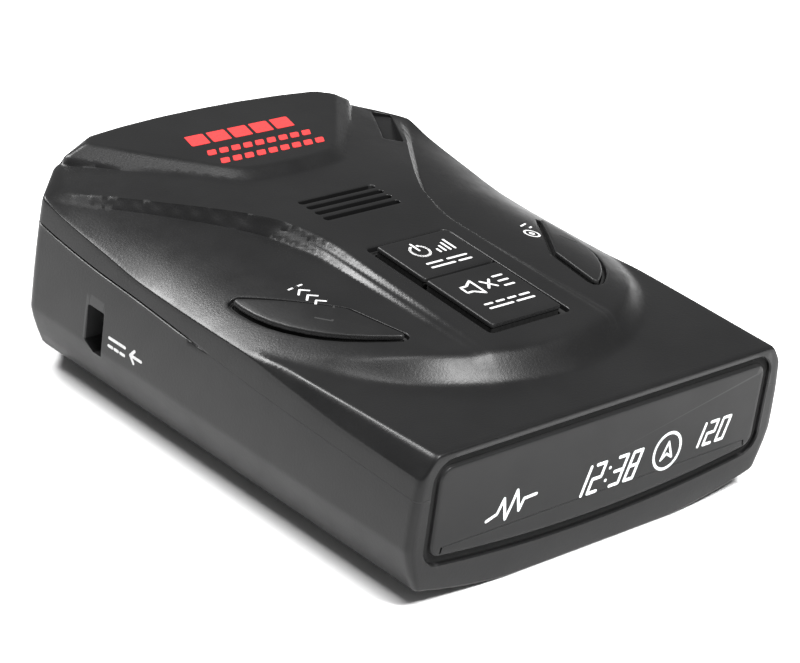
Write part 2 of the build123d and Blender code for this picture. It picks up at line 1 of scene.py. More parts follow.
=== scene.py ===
import json
import math
import bmesh
import bpy
import numpy as np
from mathutils import Matrix, Vector
from mathutils.geometry import delaunay_2d_cdt


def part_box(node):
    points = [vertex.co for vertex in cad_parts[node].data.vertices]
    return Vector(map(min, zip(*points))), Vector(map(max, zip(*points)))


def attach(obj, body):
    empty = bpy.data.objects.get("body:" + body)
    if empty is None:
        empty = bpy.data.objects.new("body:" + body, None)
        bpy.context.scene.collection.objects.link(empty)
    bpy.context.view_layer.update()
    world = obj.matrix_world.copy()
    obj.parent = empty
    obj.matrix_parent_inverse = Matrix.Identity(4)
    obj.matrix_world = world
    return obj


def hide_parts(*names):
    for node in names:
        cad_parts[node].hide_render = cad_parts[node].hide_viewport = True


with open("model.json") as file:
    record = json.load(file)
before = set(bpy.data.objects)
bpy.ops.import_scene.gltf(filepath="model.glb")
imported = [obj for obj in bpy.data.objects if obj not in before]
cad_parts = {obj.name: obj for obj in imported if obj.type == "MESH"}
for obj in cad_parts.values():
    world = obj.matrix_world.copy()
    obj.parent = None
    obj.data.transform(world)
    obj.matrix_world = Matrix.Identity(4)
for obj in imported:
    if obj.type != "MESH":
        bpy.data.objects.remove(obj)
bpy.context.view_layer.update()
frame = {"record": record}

# Dashboard radar detector. Sizes are in millimetres and become metres in make_mesh.
# "d" is a distance behind the display's top edge, so y = FRONT + d.
# Heights are above a datum that lies BASE below the flat underside.
MM = 0.001
BASE = 2.7
case_low, case_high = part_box("upper_case")
FRONT = case_low[1] / MM
LENGTH = (case_high[1] - case_low[1]) / MM
REAR = FRONT + LENGTH
DECK_Z = 27.2
PAD_Z = case_high[2] / MM + BASE
REST_X = 16.0                   # half width of the flat strip underneath
WALL = 2.2
SKIN_STEP = 0.5                 # spacing of the points that fill a moulded surface


# ------------------------------------------------------------ numbers along a line
def smooth_curve(points):
    """A cubic through the points that never overshoots them, level past both ends."""
    xs, ys = np.array(points, float).T
    steps = np.diff(xs)
    slopes = np.diff(ys) / steps
    tangents = np.zeros_like(ys)
    before, after = slopes[:-1], slopes[1:]
    same = before * after > 0
    tangents[1:-1][same] = (2 * before * after)[same] / (before + after)[same]
    tangents[0], tangents[-1] = slopes[0], slopes[-1]

    def at(x):
        x = np.clip(x, xs[0], xs[-1])
        i = np.clip(np.searchsorted(xs, x, side="right") - 1, 0, len(xs) - 2)
        h = steps[i]
        t = (x - xs[i]) / h
        return (ys[i] * (1 + 2 * t) * (1 - t) ** 2 + tangents[i] * h * t * (1 - t) ** 2
                + ys[i + 1] * t * t * (3 - 2 * t) + tangents[i + 1] * h * t * t * (t - 1))
    return at


def soft_min(a, b, k):
    return 0.5 * (a + b - np.sqrt((a - b) ** 2 + k * k))


def soft_max(a, b, k):
    return 0.5 * (a + b + np.sqrt((a - b) ** 2 + k * k))


# ------------------------------------------------------------ the case's outer form
wall_x = smooth_curve([(0, 38.0), (32, 38.3), (62, 38.7), (87, 39.0), (98, 39.0)])
foot_x = smooth_curve([(0, 35.7), (32, 35.9), (62, 36.2), (98, 36.6)])
crease_x = smooth_curve([(0, 37.3), (32, 37.4), (62, 37.7), (98, 38.6)])
crease_z = smooth_curve([(0, 23.7), (15, 24.2), (28, 25.4), (37, 26.2), (48, 26.3), (61, 26.7),
                         (72.5, 28.2), (82, 29.7), (88, 31.2), (98, 31.8)])
FOOT_Z = 5.9                    # the bottom corners
BAND_Z = 12.9                   # where the walls begin to turn in
deck_edge_x = smooth_curve([(0, 35.0), (32, 36.6), (98, 37.9)])
lobe_z = smooth_curve([(6, 30.7), (32, 31.0), (60, 31.6), (84, 32.6), (98, 32.8)])
spine_z = smooth_curve([(5, 30.6), (14, 31.1), (46, 33.1), (62, 34.0), (100, 34.0)])
spine_drop = smooth_curve([(0, 0), (14, 0), (28, -1.2), (36, -2.6), (42, -3.4)])
flank_outer = smooth_curve([(13.8, 14.6), (48, 14.3), (58, 16.5), (64, 20), (70, 24.5),
                            (79.5, 32), (94, 45)])
flank_inner = smooth_curve([(16.5, 11.8), (48, 11.5), (57, 13.8), (62.5, 17), (68.5, 21.5),
                            (78, 29), (92, 40)])
flank_form = smooth_curve([(0, 1), (0.10, 0.97), (0.40, 0.52), (0.60, 0.46), (0.92, 0.03), (1, 0)])
LOBE_START = 14.0
LOBE_ROLL = 2.6
PAD_FOOT_Z = 33.4
PAD_BEVEL = 3.0
pad_half = [(0, 70.6), (10.8, 70.6), (30.2, 93.4), (28.0, 95.4), (0, 99.0)]


def arc_behind(centre, radius, x):
    return centre - np.sqrt(np.clip(radius * radius - x * x, 60, None))


def step_lower(x):
    """The foot of the bright step across the case."""
    return arc_behind(49.5, 40.5, x)


def step_upper(x):
    return arc_behind(52.4, 39.6, x)


def pad_inset(x, d):
    """How far inside the rear pad's outline a point lies, less than 0 outside."""
    a = np.abs(x)
    inset = np.full_like(a, 1e6)
    for (x0, d0), (x1, d1), soft in zip(pad_half[:-1], pad_half[1:-1], (0, 2.2, 0.4)):
        along = np.hypot(x1 - x0, d1 - d0)
        edge = ((d - d0) * (x1 - x0) - (a - x0) * (d1 - d0)) / along
        inset = soft_min(inset, edge, soft)
    return inset


def top_z(x, d):
    """The height of the top of the case."""
    x, d = np.broadcast_arrays(np.asarray(x, float), np.asarray(d, float))
    a = np.abs(x)
    xc, zc, xe = crease_x(d), crease_z(d), deck_edge_x(d)
    facet = zc + (xc - a) * (DECK_Z - zc) / (xc - xe)
    deck = soft_min(np.full_like(a, DECK_Z), facet, 0.6)
    t = np.clip((a - LOBE_START) / (xc - LOBE_START), 0, 1.05)
    lobe = zc + (lobe_z(d) - zc) * (1 - t ** LOBE_ROLL)
    xo, xi = flank_outer(d), flank_inner(d)
    across = flank_form(np.clip((a - xi) / (xo - xi), 0, 1))
    spine = spine_z(d) + spine_drop(a)
    crown = lobe + np.maximum(spine - lobe, 0) * across
    s = (d - step_lower(a)) / (step_upper(a) - step_lower(a))
    rise = np.clip(soft_min(soft_max(s, np.zeros_like(s), 0.14), np.ones_like(s), 0.14), 0, 1)
    top = deck + (crown - deck) * rise
    inset = pad_inset(x, d)
    pad = PAD_FOOT_Z + np.where(inset > 0, inset * (PAD_Z - PAD_FOOT_Z) / PAD_BEVEL, inset * 6)
    pad = soft_min(pad, np.full_like(a, PAD_Z), 0.12)
    return soft_max(top, pad, 0.12)


def belly_z(x, d):
    """The height of the underside."""
    t = np.clip((np.abs(x) - REST_X) / (foot_x(d) - REST_X), 0, 1)
    return BASE + (FOOT_Z - BASE) * t ** 1.55


def side_x(d, z):
    """Half the width of the case at a distance and a height."""
    below = np.clip((BAND_Z - z) / (BAND_Z - FOOT_Z), 0, 1)
    above = np.clip((z - BAND_Z) / (crease_z(d) - BAND_Z), 0, 1)
    return (wall_x(d) - (wall_x(d) - foot_x(d)) * below ** 1.35
            - (wall_x(d) - crease_x(d)) * above ** 2.5)


parting_z = smooth_curve([(0, 20.5), (30, 21.8), (51, 23.3), (62, 24.2), (72, 24.9), (82, 26.1),
                          (88, 27.2), (98, 28.4)])


# ------------------------------------------------------------ outlines
def round_corners(points, radii, step):
    """A closed outline with each corner rounded, with points about step apart."""
    out = []
    count = len(points)
    for i in range(count):
        before, here, after = (np.array(points[j % count], float) for j in (i - 1, i, i + 1))
        r = radii[i] if hasattr(radii, "__len__") else radii
        to_before, to_after = before - here, after - here
        to_before /= np.linalg.norm(to_before)
        to_after /= np.linalg.norm(to_after)
        half = math.acos(max(-1, min(1, float(to_before @ to_after)))) / 2
        if r <= 0 or half > math.radians(89):
            out.append(here)
            continue
        reach = r / math.tan(half)
        middle = (to_before + to_after) / np.linalg.norm(to_before + to_after)
        centre = here + middle * r / math.sin(half)
        start, stop = here + to_before * reach, here + to_after * reach
        a0 = math.atan2(*(start - centre)[::-1])
        a1 = math.atan2(*(stop - centre)[::-1])
        turn = (a1 - a0 + math.pi) % (2 * math.pi) - math.pi
        pieces = max(3, int(abs(turn) * r / step) + 1)
        for k in range(pieces + 1):
            a = a0 + turn * k / pieces
            out.append(centre + r * np.array([math.cos(a), math.sin(a)]))
    return spaced(out, step)


def spaced(points, step):
    """The closed outline with long edges divided."""
    out = []
    for p, q in zip(points, list(points[1:]) + [points[0]]):
        pieces = max(1, int(np.linalg.norm(np.subtract(q, p)) / step + 0.5))
        out += [np.array(p) + (np.array(q) - p) * k / pieces for k in range(pieces)]
    return np.array(out)


def outward(loop):
    """The outward normals of a closed outline that runs anticlockwise."""
    along = np.roll(loop, -1, axis=0) - np.roll(loop, 1, axis=0)
    normal = np.stack([along[:, 1], -along[:, 0]], axis=1)
    return normal / np.linalg.norm(normal, axis=1, keepdims=True)


def anticlockwise(loop):
    x, y = loop[:, 0], loop[:, 1]
    area = np.sum(x * np.roll(y, -1) - y * np.roll(x, -1))
    return loop if area > 0 else loop[::-1].copy()


def arc_points(start, through, stop, count):
    """Points on the arc through three points, without the last."""
    (ax, ay), (bx, by), (cx, cy) = start, through, stop
    k = 2 * (ax * (by - cy) + bx * (cy - ay) + cx * (ay - by))
    ux = ((ax * ax + ay * ay) * (by - cy) + (bx * bx + by * by) * (cy - ay)
          + (cx * cx + cy * cy) * (ay - by)) / k
    uy = ((ax * ax + ay * ay) * (cx - bx) + (bx * bx + by * by) * (ax - cx)
          + (cx * cx + cy * cy) * (bx - ax)) / k
    r = math.hypot(ax - ux, ay - uy)
    a0, a1, am = (math.atan2(y - uy, x - ux) for x, y in (start, stop, through))
    turn = (a1 - a0) % (2 * math.pi)
    if (am - a0) % (2 * math.pi) > turn:
        turn -= 2 * math.pi
    return [(ux + r * math.cos(a0 + turn * i / count), uy + r * math.sin(a0 + turn * i / count))
            for i in range(count)]


def inside(points, loop):
    """Which points lie inside a closed outline."""
    x, y = points[:, 0], points[:, 1]
    found = np.zeros(len(points), bool)
    for (x0, y0), (x1, y1) in zip(loop, np.roll(loop, -1, axis=0)):
        if y0 == y1:
            continue
        crosses = (y0 > y) != (y1 > y)
        found ^= crosses & (x < (x1 - x0) * (y - y0) / (y1 - y0) + x0)
    return found


def edge_distance(points, loop):
    """How far each point lies from a closed outline."""
    nearest = np.full(len(points), 1e6)
    for p, q in zip(loop, np.roll(loop, -1, axis=0)):
        along = q - p
        t = np.clip((points - p) @ along / max(along @ along, 1e-12), 0, 1)
        gap = points - p - t[:, None] * along
        nearest = np.minimum(nearest, np.hypot(gap[:, 0], gap[:, 1]))
    return nearest


# ------------------------------------------------------------ meshes
def fenced_regions(triangles, fences):
    """The triangles in groups that can be walked without crossing a fence."""
    across = {}
    for i, t in enumerate(triangles):
        for j in range(3):
            edge = tuple(sorted((t[j], t[j - 1])))
            if edge not in fences:
                across.setdefault(edge, []).append(i)
    neighbours = {}
    for pair in across.values():
        if len(pair) == 2:
            neighbours.setdefault(pair[0], []).append(pair[1])
            neighbours.setdefault(pair[1], []).append(pair[0])
    seen, regions = set(), []
    for first in range(len(triangles)):
        if first in seen:
            continue
        seen.add(first)
        waiting, region = [first], []
        while waiting:
            i = waiting.pop()
            region.append(tuple(triangles[i]))
            for j in neighbours.get(i, ()):
                if j not in seen:
                    seen.add(j)
                    waiting.append(j)
        regions.append(region)
    return regions


SLIVER = 1e-3                   # a group of triangles this thin is only rounding error


class Builder:
    """Collects vertices and faces, in millimetres."""

    def __init__(self):
        self.points, self.faces = [], []

    def ring(self, points):
        start = len(self.points)
        self.points += [tuple(map(float, p)) for p in points]
        return list(range(start, len(self.points)))

    def band(self, upper, lower):
        """Quads between two closed rings of the same length."""
        for i in range(len(upper)):
            j = (i + 1) % len(upper)
            self.faces.append((upper[i], lower[i], lower[j], upper[j]))

    def wall(self, rings):
        for upper, lower in zip(rings, rings[1:]):
            self.band(upper, lower)

    def skin(self, boundary, holes, fill, height, up=True):
        """A triangulated surface between rings that are already in the builder."""
        loops = [boundary] + holes
        flat, index = [], []
        for loop in loops:
            flat += [self.points[i][:2] for i in loop]
            index += loop
        fixed = len(flat)
        edges, start = [], 0
        for loop in loops:
            edges += [(start + i, start + (i + 1) % len(loop)) for i in range(len(loop))]
            start += len(loop)
        outlines = [np.array([self.points[i][:2] for i in loop]) for loop in loops]
        keep = inside(fill, outlines[0])
        for outline in outlines[1:]:
            keep &= ~inside(fill, outline)
        for outline in outlines:
            keep[keep] = edge_distance(fill[keep], outline) > 0.28
        flat += [tuple(p) for p in fill[keep]]
        result = delaunay_2d_cdt([Vector(p) for p in flat], edges, [], 0, 1e-5)
        points, triangles, origins = result[0], result[2], result[3]
        where = {}
        for new, origin in enumerate(origins):
            known = [o for o in origin if o < fixed]
            if known:
                where[new] = index[known[0]]
        added = [i for i in range(len(points)) if i not in where]
        placed = np.array([points[i] for i in added])
        if len(placed):
            z = height(placed[:, 0], placed[:, 1])
            ids = self.ring(np.column_stack([placed, z]))
            where.update(zip(added, ids))
        flat_points = np.array([tuple(p) for p in points])
        fences = {tuple(sorted(e)) for e, given in zip(result[1], result[4]) if given}
        for region in fenced_regions(triangles, fences):
            corners = flat_points[np.array(region)]
            u, v = corners[:, 1] - corners[:, 0], corners[:, 2] - corners[:, 0]
            areas = np.abs(u[:, 0] * v[:, 1] - u[:, 1] * v[:, 0])
            centre = corners[np.argmax(areas)].mean(axis=0)[None]
            in_hole = any(inside(centre, o)[0] for o in outlines[1:])
            if areas.max() < SLIVER or in_hole or not inside(centre, outlines[0])[0]:
                continue
            for a, b, c in region:
                if not up:
                    b, c = c, b
                self.faces.append((where[a], where[b], where[c]))

    def cap(self, ring, up):
        self.faces.append(tuple(ring if up else ring[::-1]))


def make_mesh(name, builder, smooth_angle=35):
    mesh = bpy.data.meshes.new(name)
    points = [(x * MM, y * MM, (z - BASE) * MM) for x, y, z in builder.points]
    mesh.from_pydata(points, [], builder.faces)
    mesh.validate()
    mesh.update()
    mesh.shade_smooth()
    mesh.set_sharp_from_angle(angle=math.radians(smooth_angle))
    piece = bpy.data.objects.new(name, mesh)
    bpy.context.scene.collection.objects.link(piece)
    return piece


def face_outwards(piece):
    shell = bmesh.new()
    shell.from_mesh(piece.data)
    bmesh.ops.recalc_face_normals(shell, faces=shell.faces)
    shell.to_mesh(piece.data)
    shell.free()


def cut(piece, cutter, smooth_angle=35):
    """Takes the cutter's space out of the piece."""
    face_outwards(piece)
    face_outwards(cutter)
    modifier = piece.modifiers.new("cut", "BOOLEAN")
    modifier.operation, modifier.solver, modifier.object = "DIFFERENCE", "MANIFOLD", cutter
    evaluated = piece.evaluated_get(bpy.context.evaluated_depsgraph_get())
    mesh = bpy.data.meshes.new_from_object(evaluated)
    piece.modifiers.clear()
    old = piece.data
    piece.data = mesh
    mesh.name = old.name
    bpy.data.meshes.remove(old)
    mesh.shade_smooth()
    mesh.set_sharp_from_angle(angle=math.radians(smooth_angle))


def drop(piece):
    mesh = piece.data
    bpy.data.objects.remove(piece)
    bpy.data.meshes.remove(mesh)


EDGE_STEPS = (1.0, 0.6, 0.3, 0.1, 0.0)


def rounding(radius, e):
    """How far a rounded edge has dropped, e of the radius in from its side."""
    return radius * (1 - np.sqrt(1 - (1 - e) ** 2))


# ------------------------------------------------------------ fill points of the top
def fill_grid(step):
    xs = np.arange(-39.5, 39.5, step)
    ds = np.arange(0.2, LENGTH, step * 0.87)
    rows = [np.column_stack([xs + (i % 2) * step / 2, np.full(len(xs), FRONT + d)])
            for i, d in enumerate(ds)]
    return np.concatenate(rows)


def mirrored(rows):
    rows = np.array(rows)
    return np.concatenate([rows, rows * (-1, 1)])


# where the extra rows of points lie: shares of the step's width, and distances beside an edge
STEP_ROWS = (0.0, 1.0, 0.12, 0.88, -0.12, 1.12, 0.5, 0.3, 0.7, -0.3, 1.3)
DECK_EDGE_ROWS = (0.0, -0.35, 0.45, -0.8, 0.95, 1.4)
PAD_ROWS = (-0.25, 0.0, 0.35, 2.6, 3.0, 3.4, 1.0, 1.8, -0.7)


def feature_points():
    """Rows of points along every edge of the top, so that its triangles follow them."""
    sets = []
    for s in STEP_ROWS:
        x = np.arange(-37.0, 37.0, 0.55)
        d = step_lower(x) + s * (step_upper(x) - step_lower(x))
        sets.append(np.column_stack([x, FRONT + d]))
    for offset in DECK_EDGE_ROWS:
        d = np.arange(0.3, 46, 0.5)
        x = deck_edge_x(d) + offset
        keep = x < crease_x(d) - 0.15
        sets.append(mirrored(np.column_stack([x[keep], FRONT + d[keep]])))
    for inset in PAD_ROWS:
        sets.append(mirrored(offset_path(pad_half[:4], inset)))
    for edge in (flank_inner, flank_outer):
        d = np.arange(16, 91, 0.05)
        x = edge(d)
        run = np.concatenate([[0], np.cumsum(np.hypot(np.diff(x), np.diff(d)))])
        d = np.interp(np.arange(0, run[-1], SKIN_STEP), run, d)
        sets.append(mirrored(np.column_stack([edge(d), FRONT + d])))
    return sets


def offset_path(points, inset):
    """The pad's half outline moved inwards, as plan points about half a mm apart."""
    pts = [np.array(p, float) for p in points]
    lines = []
    for p, q in zip(pts, pts[1:]):
        along = (q - p) / np.linalg.norm(q - p)
        inward = np.array([-along[1], along[0]])
        lines.append((p + inward * inset, along))
    moved = [np.array([0.0, lines[0][0][1]])]
    for (p, u), (q, v) in zip(lines, lines[1:]):
        k = np.linalg.solve(np.column_stack([u, -v]), q - p)
        moved.append(p + u * k[0])
    moved.append(lines[-1][0] + lines[-1][1] * np.linalg.norm(pts[-1] - pts[-2]))
    out = []
    for p, q in zip(moved, moved[1:]):
        pieces = max(1, int(np.linalg.norm(q - p) / 0.5))
        out += [p + (q - p) * k / pieces for k in range(pieces + 1)]
    return np.array(out) + (0, FRONT)


def thinned(sets, spacing):
    """All the points, in order, without any that crowds one before it."""
    kept = []
    cells = {}
    for points, gap in sets:
        for p in points:
            cell = (int(p[0] // spacing), int(p[1] // spacing))
            near = [q for i in (-1, 0, 1) for j in (-1, 0, 1)
                    for q in cells.get((cell[0] + i, cell[1] + j), ())]
            if all((p[0] - q[0]) ** 2 + (p[1] - q[1]) ** 2 > gap * gap for q in near):
                kept.append(p)
                cells.setdefault(cell, []).append(p)
    return np.array(kept)


# ------------------------------------------------------------ the perimeter
plan_half = [(38.0, 0.0), (39.0, 87.0), (31.5, 94.2), (24.5, 95.9), (16.5, 97.1), (8.3, 97.8),
             (0.0, LENGTH)]
plan_points = plan_half + [(-x, d) for x, d in plan_half[-2::-1]]
plan_radii = [0.9, 1.6, 3.0, 30, 40, 50, 60]
plan_radii = plan_radii + plan_radii[-2::-1]
plan_loop = anticlockwise(round_corners(plan_points, plan_radii, 0.55))
plan_x, plan_d = plan_loop.T
plan_part = plan_x / wall_x(plan_d)
groove_depth = 0.34 * np.clip((plan_d - 45) / 8, 0, 1)
rear_share = np.clip((plan_d - 84) / 8.0, 0, 1)
plan_normal = outward(plan_loop)


def perimeter(z, inset=0.0):
    """The outer wall at a height for each point of the perimeter, in plan."""
    x = plan_part * side_x(plan_d, z)
    tuck = np.clip((BAND_Z - z) / (BAND_Z - FOOT_Z), 0, 1) ** 1.35 * 1.6 * rear_share
    y = FRONT + plan_d - tuck
    return np.column_stack([x, y]) - plan_normal * np.reshape(inset, (-1, 1))


MEAN_HALF_WIDTH = 38.5


def drawn_in(points, by):
    """Points of the perimeter drawn towards the middle of the case."""
    middle = FRONT + LENGTH / 2
    x, y = points.T
    return np.column_stack([x * (1 - by / MEAN_HALF_WIDTH), middle + (y - middle) * (1 - 2 * by / LENGTH)])


def edge_radius():
    """The rounding of the top edge at each point of the perimeter."""
    side = np.clip(plan_d / 1.5, 0, 1) * np.clip((90 - plan_d) / 6, 0, 1)
    return 0.55 * (1 - side) + 0.16 * side + 0.35 * rear_share


def top_height(points):
    return top_z(points[:, 0], points[:, 1] - FRONT)


def belly_height(points):
    return belly_z(points[:, 0], points[:, 1] - FRONT)


SETTLING = 12                   # rounds that bring a wall's end onto the surface it meets


def wall_top():
    """The top of the wall at each point: where the top surface meets it."""
    z = np.full(len(plan_d), 26.0)
    for _ in range(SETTLING):
        z = 0.5 * z + 0.5 * top_height(perimeter(z))
    return z


def with_z(points, z):
    return np.column_stack([points, np.broadcast_to(z, len(points))])


# ------------------------------------------------------------ openings in the top
KEY_HALF, KEY_GAP = 7.2, 1.1
LEAF_GAP = KEY_GAP * 0.7
KEY_FRONT, KEY_SPLIT, KEY_REAR, SPLIT_GAP = 19.3, 33.9, 45.0, 0.3
LEAF_FRONT, LEAF_OUTER, LEAF_REAR, LEAF_INNER = (19.4, 23.6), (29.2, 33.2), (32.2, 48.6), (21.6, 34.8)


def rectangle(x0, x1, d0, d1, radius, step=0.5):
    points = [(x0, d0), (x1, d0), (x1, d1), (x0, d1)]
    loop = round_corners(points, radius, step)
    return anticlockwise(loop + (0, FRONT))


def leaf(side, grow):
    """A side key's outline, with its tips a little rounded."""
    arc = arc_points(LEAF_FRONT, LEAF_OUTER, LEAF_REAR, 10)
    points = [(side * x, d) for x, d in arc + [LEAF_REAR, LEAF_INNER]]
    radii = [0.5] + [6.0] * 9 + [0.5, 1.6]
    loop = anticlockwise(round_corners(points, radii, 0.45))
    loop = loop + outward(loop) * grow
    return loop + (0, FRONT)


RAMP_REAR, RAMP_FRONT, RAMP_WIDTH = np.array((33.9, 89.4)), np.array((25.4, 77.0)), 3.4
RAMP_HOLE = 0.2                 # the share of its length that drops into a hole
RAMP_Z, RAMP_RISE, RAMP_HOLE_DEEP, RAMP_HOLE_EDGE = 30.2, 1.0, 3.4, 0.03


def ramp_outline():
    along = (RAMP_REAR - RAMP_FRONT) / np.linalg.norm(RAMP_REAR - RAMP_FRONT)
    aside = np.array([along[1], -along[0]]) * RAMP_WIDTH / 2
    points = [RAMP_FRONT + aside, RAMP_REAR + aside, RAMP_REAR - aside, RAMP_FRONT - aside]
    return anticlockwise(round_corners(points, 0.5, 0.45) + (0, FRONT))


def ramp_share(points):
    """0 at the ramp's front end, 1 at its rear end."""
    along = RAMP_REAR - RAMP_FRONT
    return ((points - (0, FRONT) - RAMP_FRONT) @ along) / (along @ along)


openings = [("key_well", rectangle(-KEY_HALF - KEY_GAP, KEY_HALF + KEY_GAP, KEY_FRONT - KEY_GAP,
                                   KEY_REAR + KEY_GAP, 0.8), 0.3)]
for side in (-1, 1):
    openings.append(("leaf_well", leaf(side, LEAF_GAP), 0.22))
SLOTS, SLOT_MIDDLE, SLOT_PITCH, SLOT_HALF, SLOT_HALF_WIDE = 4, 59.3, 2.0, 7.8, 0.55
for k in range(SLOTS):
    slot_d = SLOT_MIDDLE + (k - (SLOTS - 1) / 2) * SLOT_PITCH
    slot = rectangle(-SLOT_HALF, SLOT_HALF, slot_d - SLOT_HALF_WIDE, slot_d + SLOT_HALF_WIDE, 0.5, 0.4)
    openings.append(("speaker_slot", slot, 0.18))
openings.append(("ramp", ramp_outline(), 0.25))


def roof_z(x, y):
    """The inside of the top."""
    d = y - FRONT
    near = np.exp(-(((x - 29) / 9) ** 2 + ((d - 82) / 11) ** 2))
    return top_z(x * 1.02, d) - WALL - 5.5 * near


def build_upper():
    b = Builder()
    radius = edge_radius()
    top = wall_top()
    rings = []
    for e in EDGE_STEPS:
        plan = perimeter(top, radius * e)
        z = top_height(plan) - rounding(radius, e)
        rings.append(b.ring(with_z(plan, z)))
    wall_z = z
    part = parting_z(plan_d)
    for share in (0.12, 0.3, 0.5, 0.7, 0.86, 0.95):
        z = wall_z + (part + 0.3 - wall_z) * share
        rings.append(b.ring(with_z(perimeter(z), z)))
    for lift, depth in ((0.22, 0.0), (0.12, 0.35), (0.08, 1.0), (0.02, 1.0)):
        z = part + lift
        rings.append(b.ring(with_z(perimeter(z, groove_depth * depth), z)))
    b.wall(rings)
    # over the lip, up the inside and across the roof
    z = part + 0.02
    lip = b.ring(with_z(drawn_in(perimeter(z), WALL), z))
    b.band(rings[-1], lip)
    plan = drawn_in(perimeter(top), WALL + 0.6)
    roof_edge = b.ring(with_z(plan, roof_z(plan[:, 0], plan[:, 1])))
    b.band(lip, roof_edge)
    outer_holes, inner_holes = [], []
    for kind, loop, r in openings:
        normal = outward(loop)
        hole = []
        for e in EDGE_STEPS:
            plan = loop + normal * r * e
            z = top_height(plan) - rounding(r, e)
            hole.append(b.ring(with_z(plan, z)))
        outer_holes.append(hole[0])
        if kind == "ramp":
            hole.append(b.ring(with_z(loop, np.minimum(ramp_floor(*loop.T), z - 0.1))))
        else:
            roof = roof_z(loop[:, 0], loop[:, 1])
            hole.append(b.ring(with_z(loop, z * 0.6 + roof * 0.4)))
            hole.append(b.ring(with_z(loop, roof)))
            inner_holes.append(hole[-1])
        b.wall([ring[::-1] for ring in hole])
        if kind == "ramp":
            b.skin(hole[-1], [], fill_near(loop, 0.5), ramp_floor)
    rows = [(points, 0.3) for points in feature_points()]
    rims = []
    for kind, loop, r in openings:
        normal = outward(loop)
        rims += [(loop + normal * (r + 0.45), 0.3), (loop + normal * (r + 1.0), 0.4)]
    fill = thinned(rims + rows + [(fill_grid(SKIN_STEP), SKIN_STEP * 0.62)], 0.7)
    b.skin(rings[0], outer_holes, fill, lambda x, y: top_z(x, y - FRONT))
    b.skin(roof_edge, inner_holes, fill_grid(2.0), roof_z, up=False)
    return make_mesh("case_top", b, 38)


def ramp_floor(x, y):
    share = ramp_share(np.column_stack([x, y]))
    hole = RAMP_HOLE_DEEP * np.clip((RAMP_HOLE - share) / RAMP_HOLE_EDGE, 0, 1)
    return RAMP_Z + share * RAMP_RISE - hole


def fill_near(loop, step):
    low, high = loop.min(axis=0), loop.max(axis=0)
    xs, ys = np.meshgrid(np.arange(low[0], high[0], step), np.arange(low[1], high[1], step))
    return np.column_stack([xs.ravel(), ys.ravel()])


SCREWS = [(x, d, split) for x in (-31.0, 31.0) for d, split in ((14.5, 19.9), (83.5, 24.3))]
SCREW_HEAD_R, SCREW_R, BOSS_R, SCREW_SEAT = 2.5, 1.35, 3.0, 7.5
SCREW_RIM = 0.2
LABEL_HALF, LABEL_FRONT, LABEL_REAR, LABEL_DEEP = 14.3, 34.7, 69.3, 0.3


def circle(x, d, radius, count=40):
    a = np.arange(count) * 2 * math.pi / count
    return np.column_stack([x + radius * np.cos(a), FRONT + d + radius * np.sin(a)])


def floor_z(x, y):
    """The inside of the bottom."""
    return belly_z(x, y - FRONT) + WALL


def build_lower():
    b = Builder()
    part = parting_z(plan_d)
    rings = []
    for lift, depth in ((0.02, 1.0), (0.08, 1.0), (0.12, 0.35), (0.22, 0.0)):
        z = part - lift
        rings.append(b.ring(with_z(perimeter(z, groove_depth * depth), z)))
    foot = np.full(len(plan_d), FOOT_Z)
    for _ in range(SETTLING):
        foot = 0.5 * foot + 0.5 * belly_height(perimeter(foot))
    radius = 0.5 + 0.3 * rear_share
    start = foot + radius
    tall = part - 0.3 - start
    band_share = np.clip((part - 0.3 - BAND_Z) / tall, 0.2, 0.8)
    shares = [band_share * k for k in (0.08, 0.3, 0.6, 0.88, 0.97)]
    shares += [band_share + (1 - band_share) * k for k in (0.02, 0.1, 0.35, 0.65, 1.0)]
    for share in shares:
        z = part - 0.3 - tall * share
        rings.append(b.ring(with_z(perimeter(z), z)))
    for e in (0.1, 0.3, 0.6, 1.0):
        plan = perimeter(foot, radius * e)
        z = belly_height(plan) + rounding(radius, e)
        rings.append(b.ring(with_z(plan, z)))
    b.wall(rings)
    z = part - 0.02
    lip = b.ring(with_z(drawn_in(perimeter(z), WALL), z))
    b.band(lip, rings[0])
    plan = drawn_in(perimeter(foot + 3.0), WALL + 0.5)
    floor_edge = b.ring(with_z(plan, floor_z(plan[:, 0], plan[:, 1])))
    b.band(floor_edge, lip)
    outer_holes, inner_holes = [], []
    for x, d, split in SCREWS:
        steps = []
        for e in (1.0, 0.3, 0.0):
            loop = circle(x, d, SCREW_HEAD_R + SCREW_RIM * e)
            steps.append(with_z(loop, belly_height(loop) + rounding(SCREW_RIM, e)))
        steps.append(with_z(circle(x, d, SCREW_HEAD_R), SCREW_SEAT))
        steps.append(with_z(circle(x, d, SCREW_R), SCREW_SEAT))
        steps.append(with_z(circle(x, d, SCREW_R), split))
        steps.append(with_z(circle(x, d, BOSS_R), split))
        loop = circle(x, d, BOSS_R)
        steps.append(with_z(loop, np.minimum(floor_z(loop[:, 0], loop[:, 1]), split - 1)))
        ids = [b.ring(s) for s in steps]
        outer_holes.append(ids[0])
        inner_holes.append(ids[-1])
        b.wall(ids)
    label = rectangle(-LABEL_HALF, LABEL_HALF, LABEL_FRONT, LABEL_REAR, 1.2, 1.5)
    edge = [b.ring(with_z(label, BASE + z)) for z in (0.0, LABEL_DEEP)]
    b.band(edge[0], edge[1])
    b.cap(edge[1], up=False)
    outer_holes.append(edge[0])
    b.skin(rings[-1], outer_holes, fill_grid(1.4), lambda x, y: belly_z(x, y - FRONT), up=False)
    b.skin(floor_edge, inner_holes, fill_grid(2.5), floor_z)
    return make_mesh("case_bottom", b, 38)


case_top = build_upper()
case_bottom = build_lower()

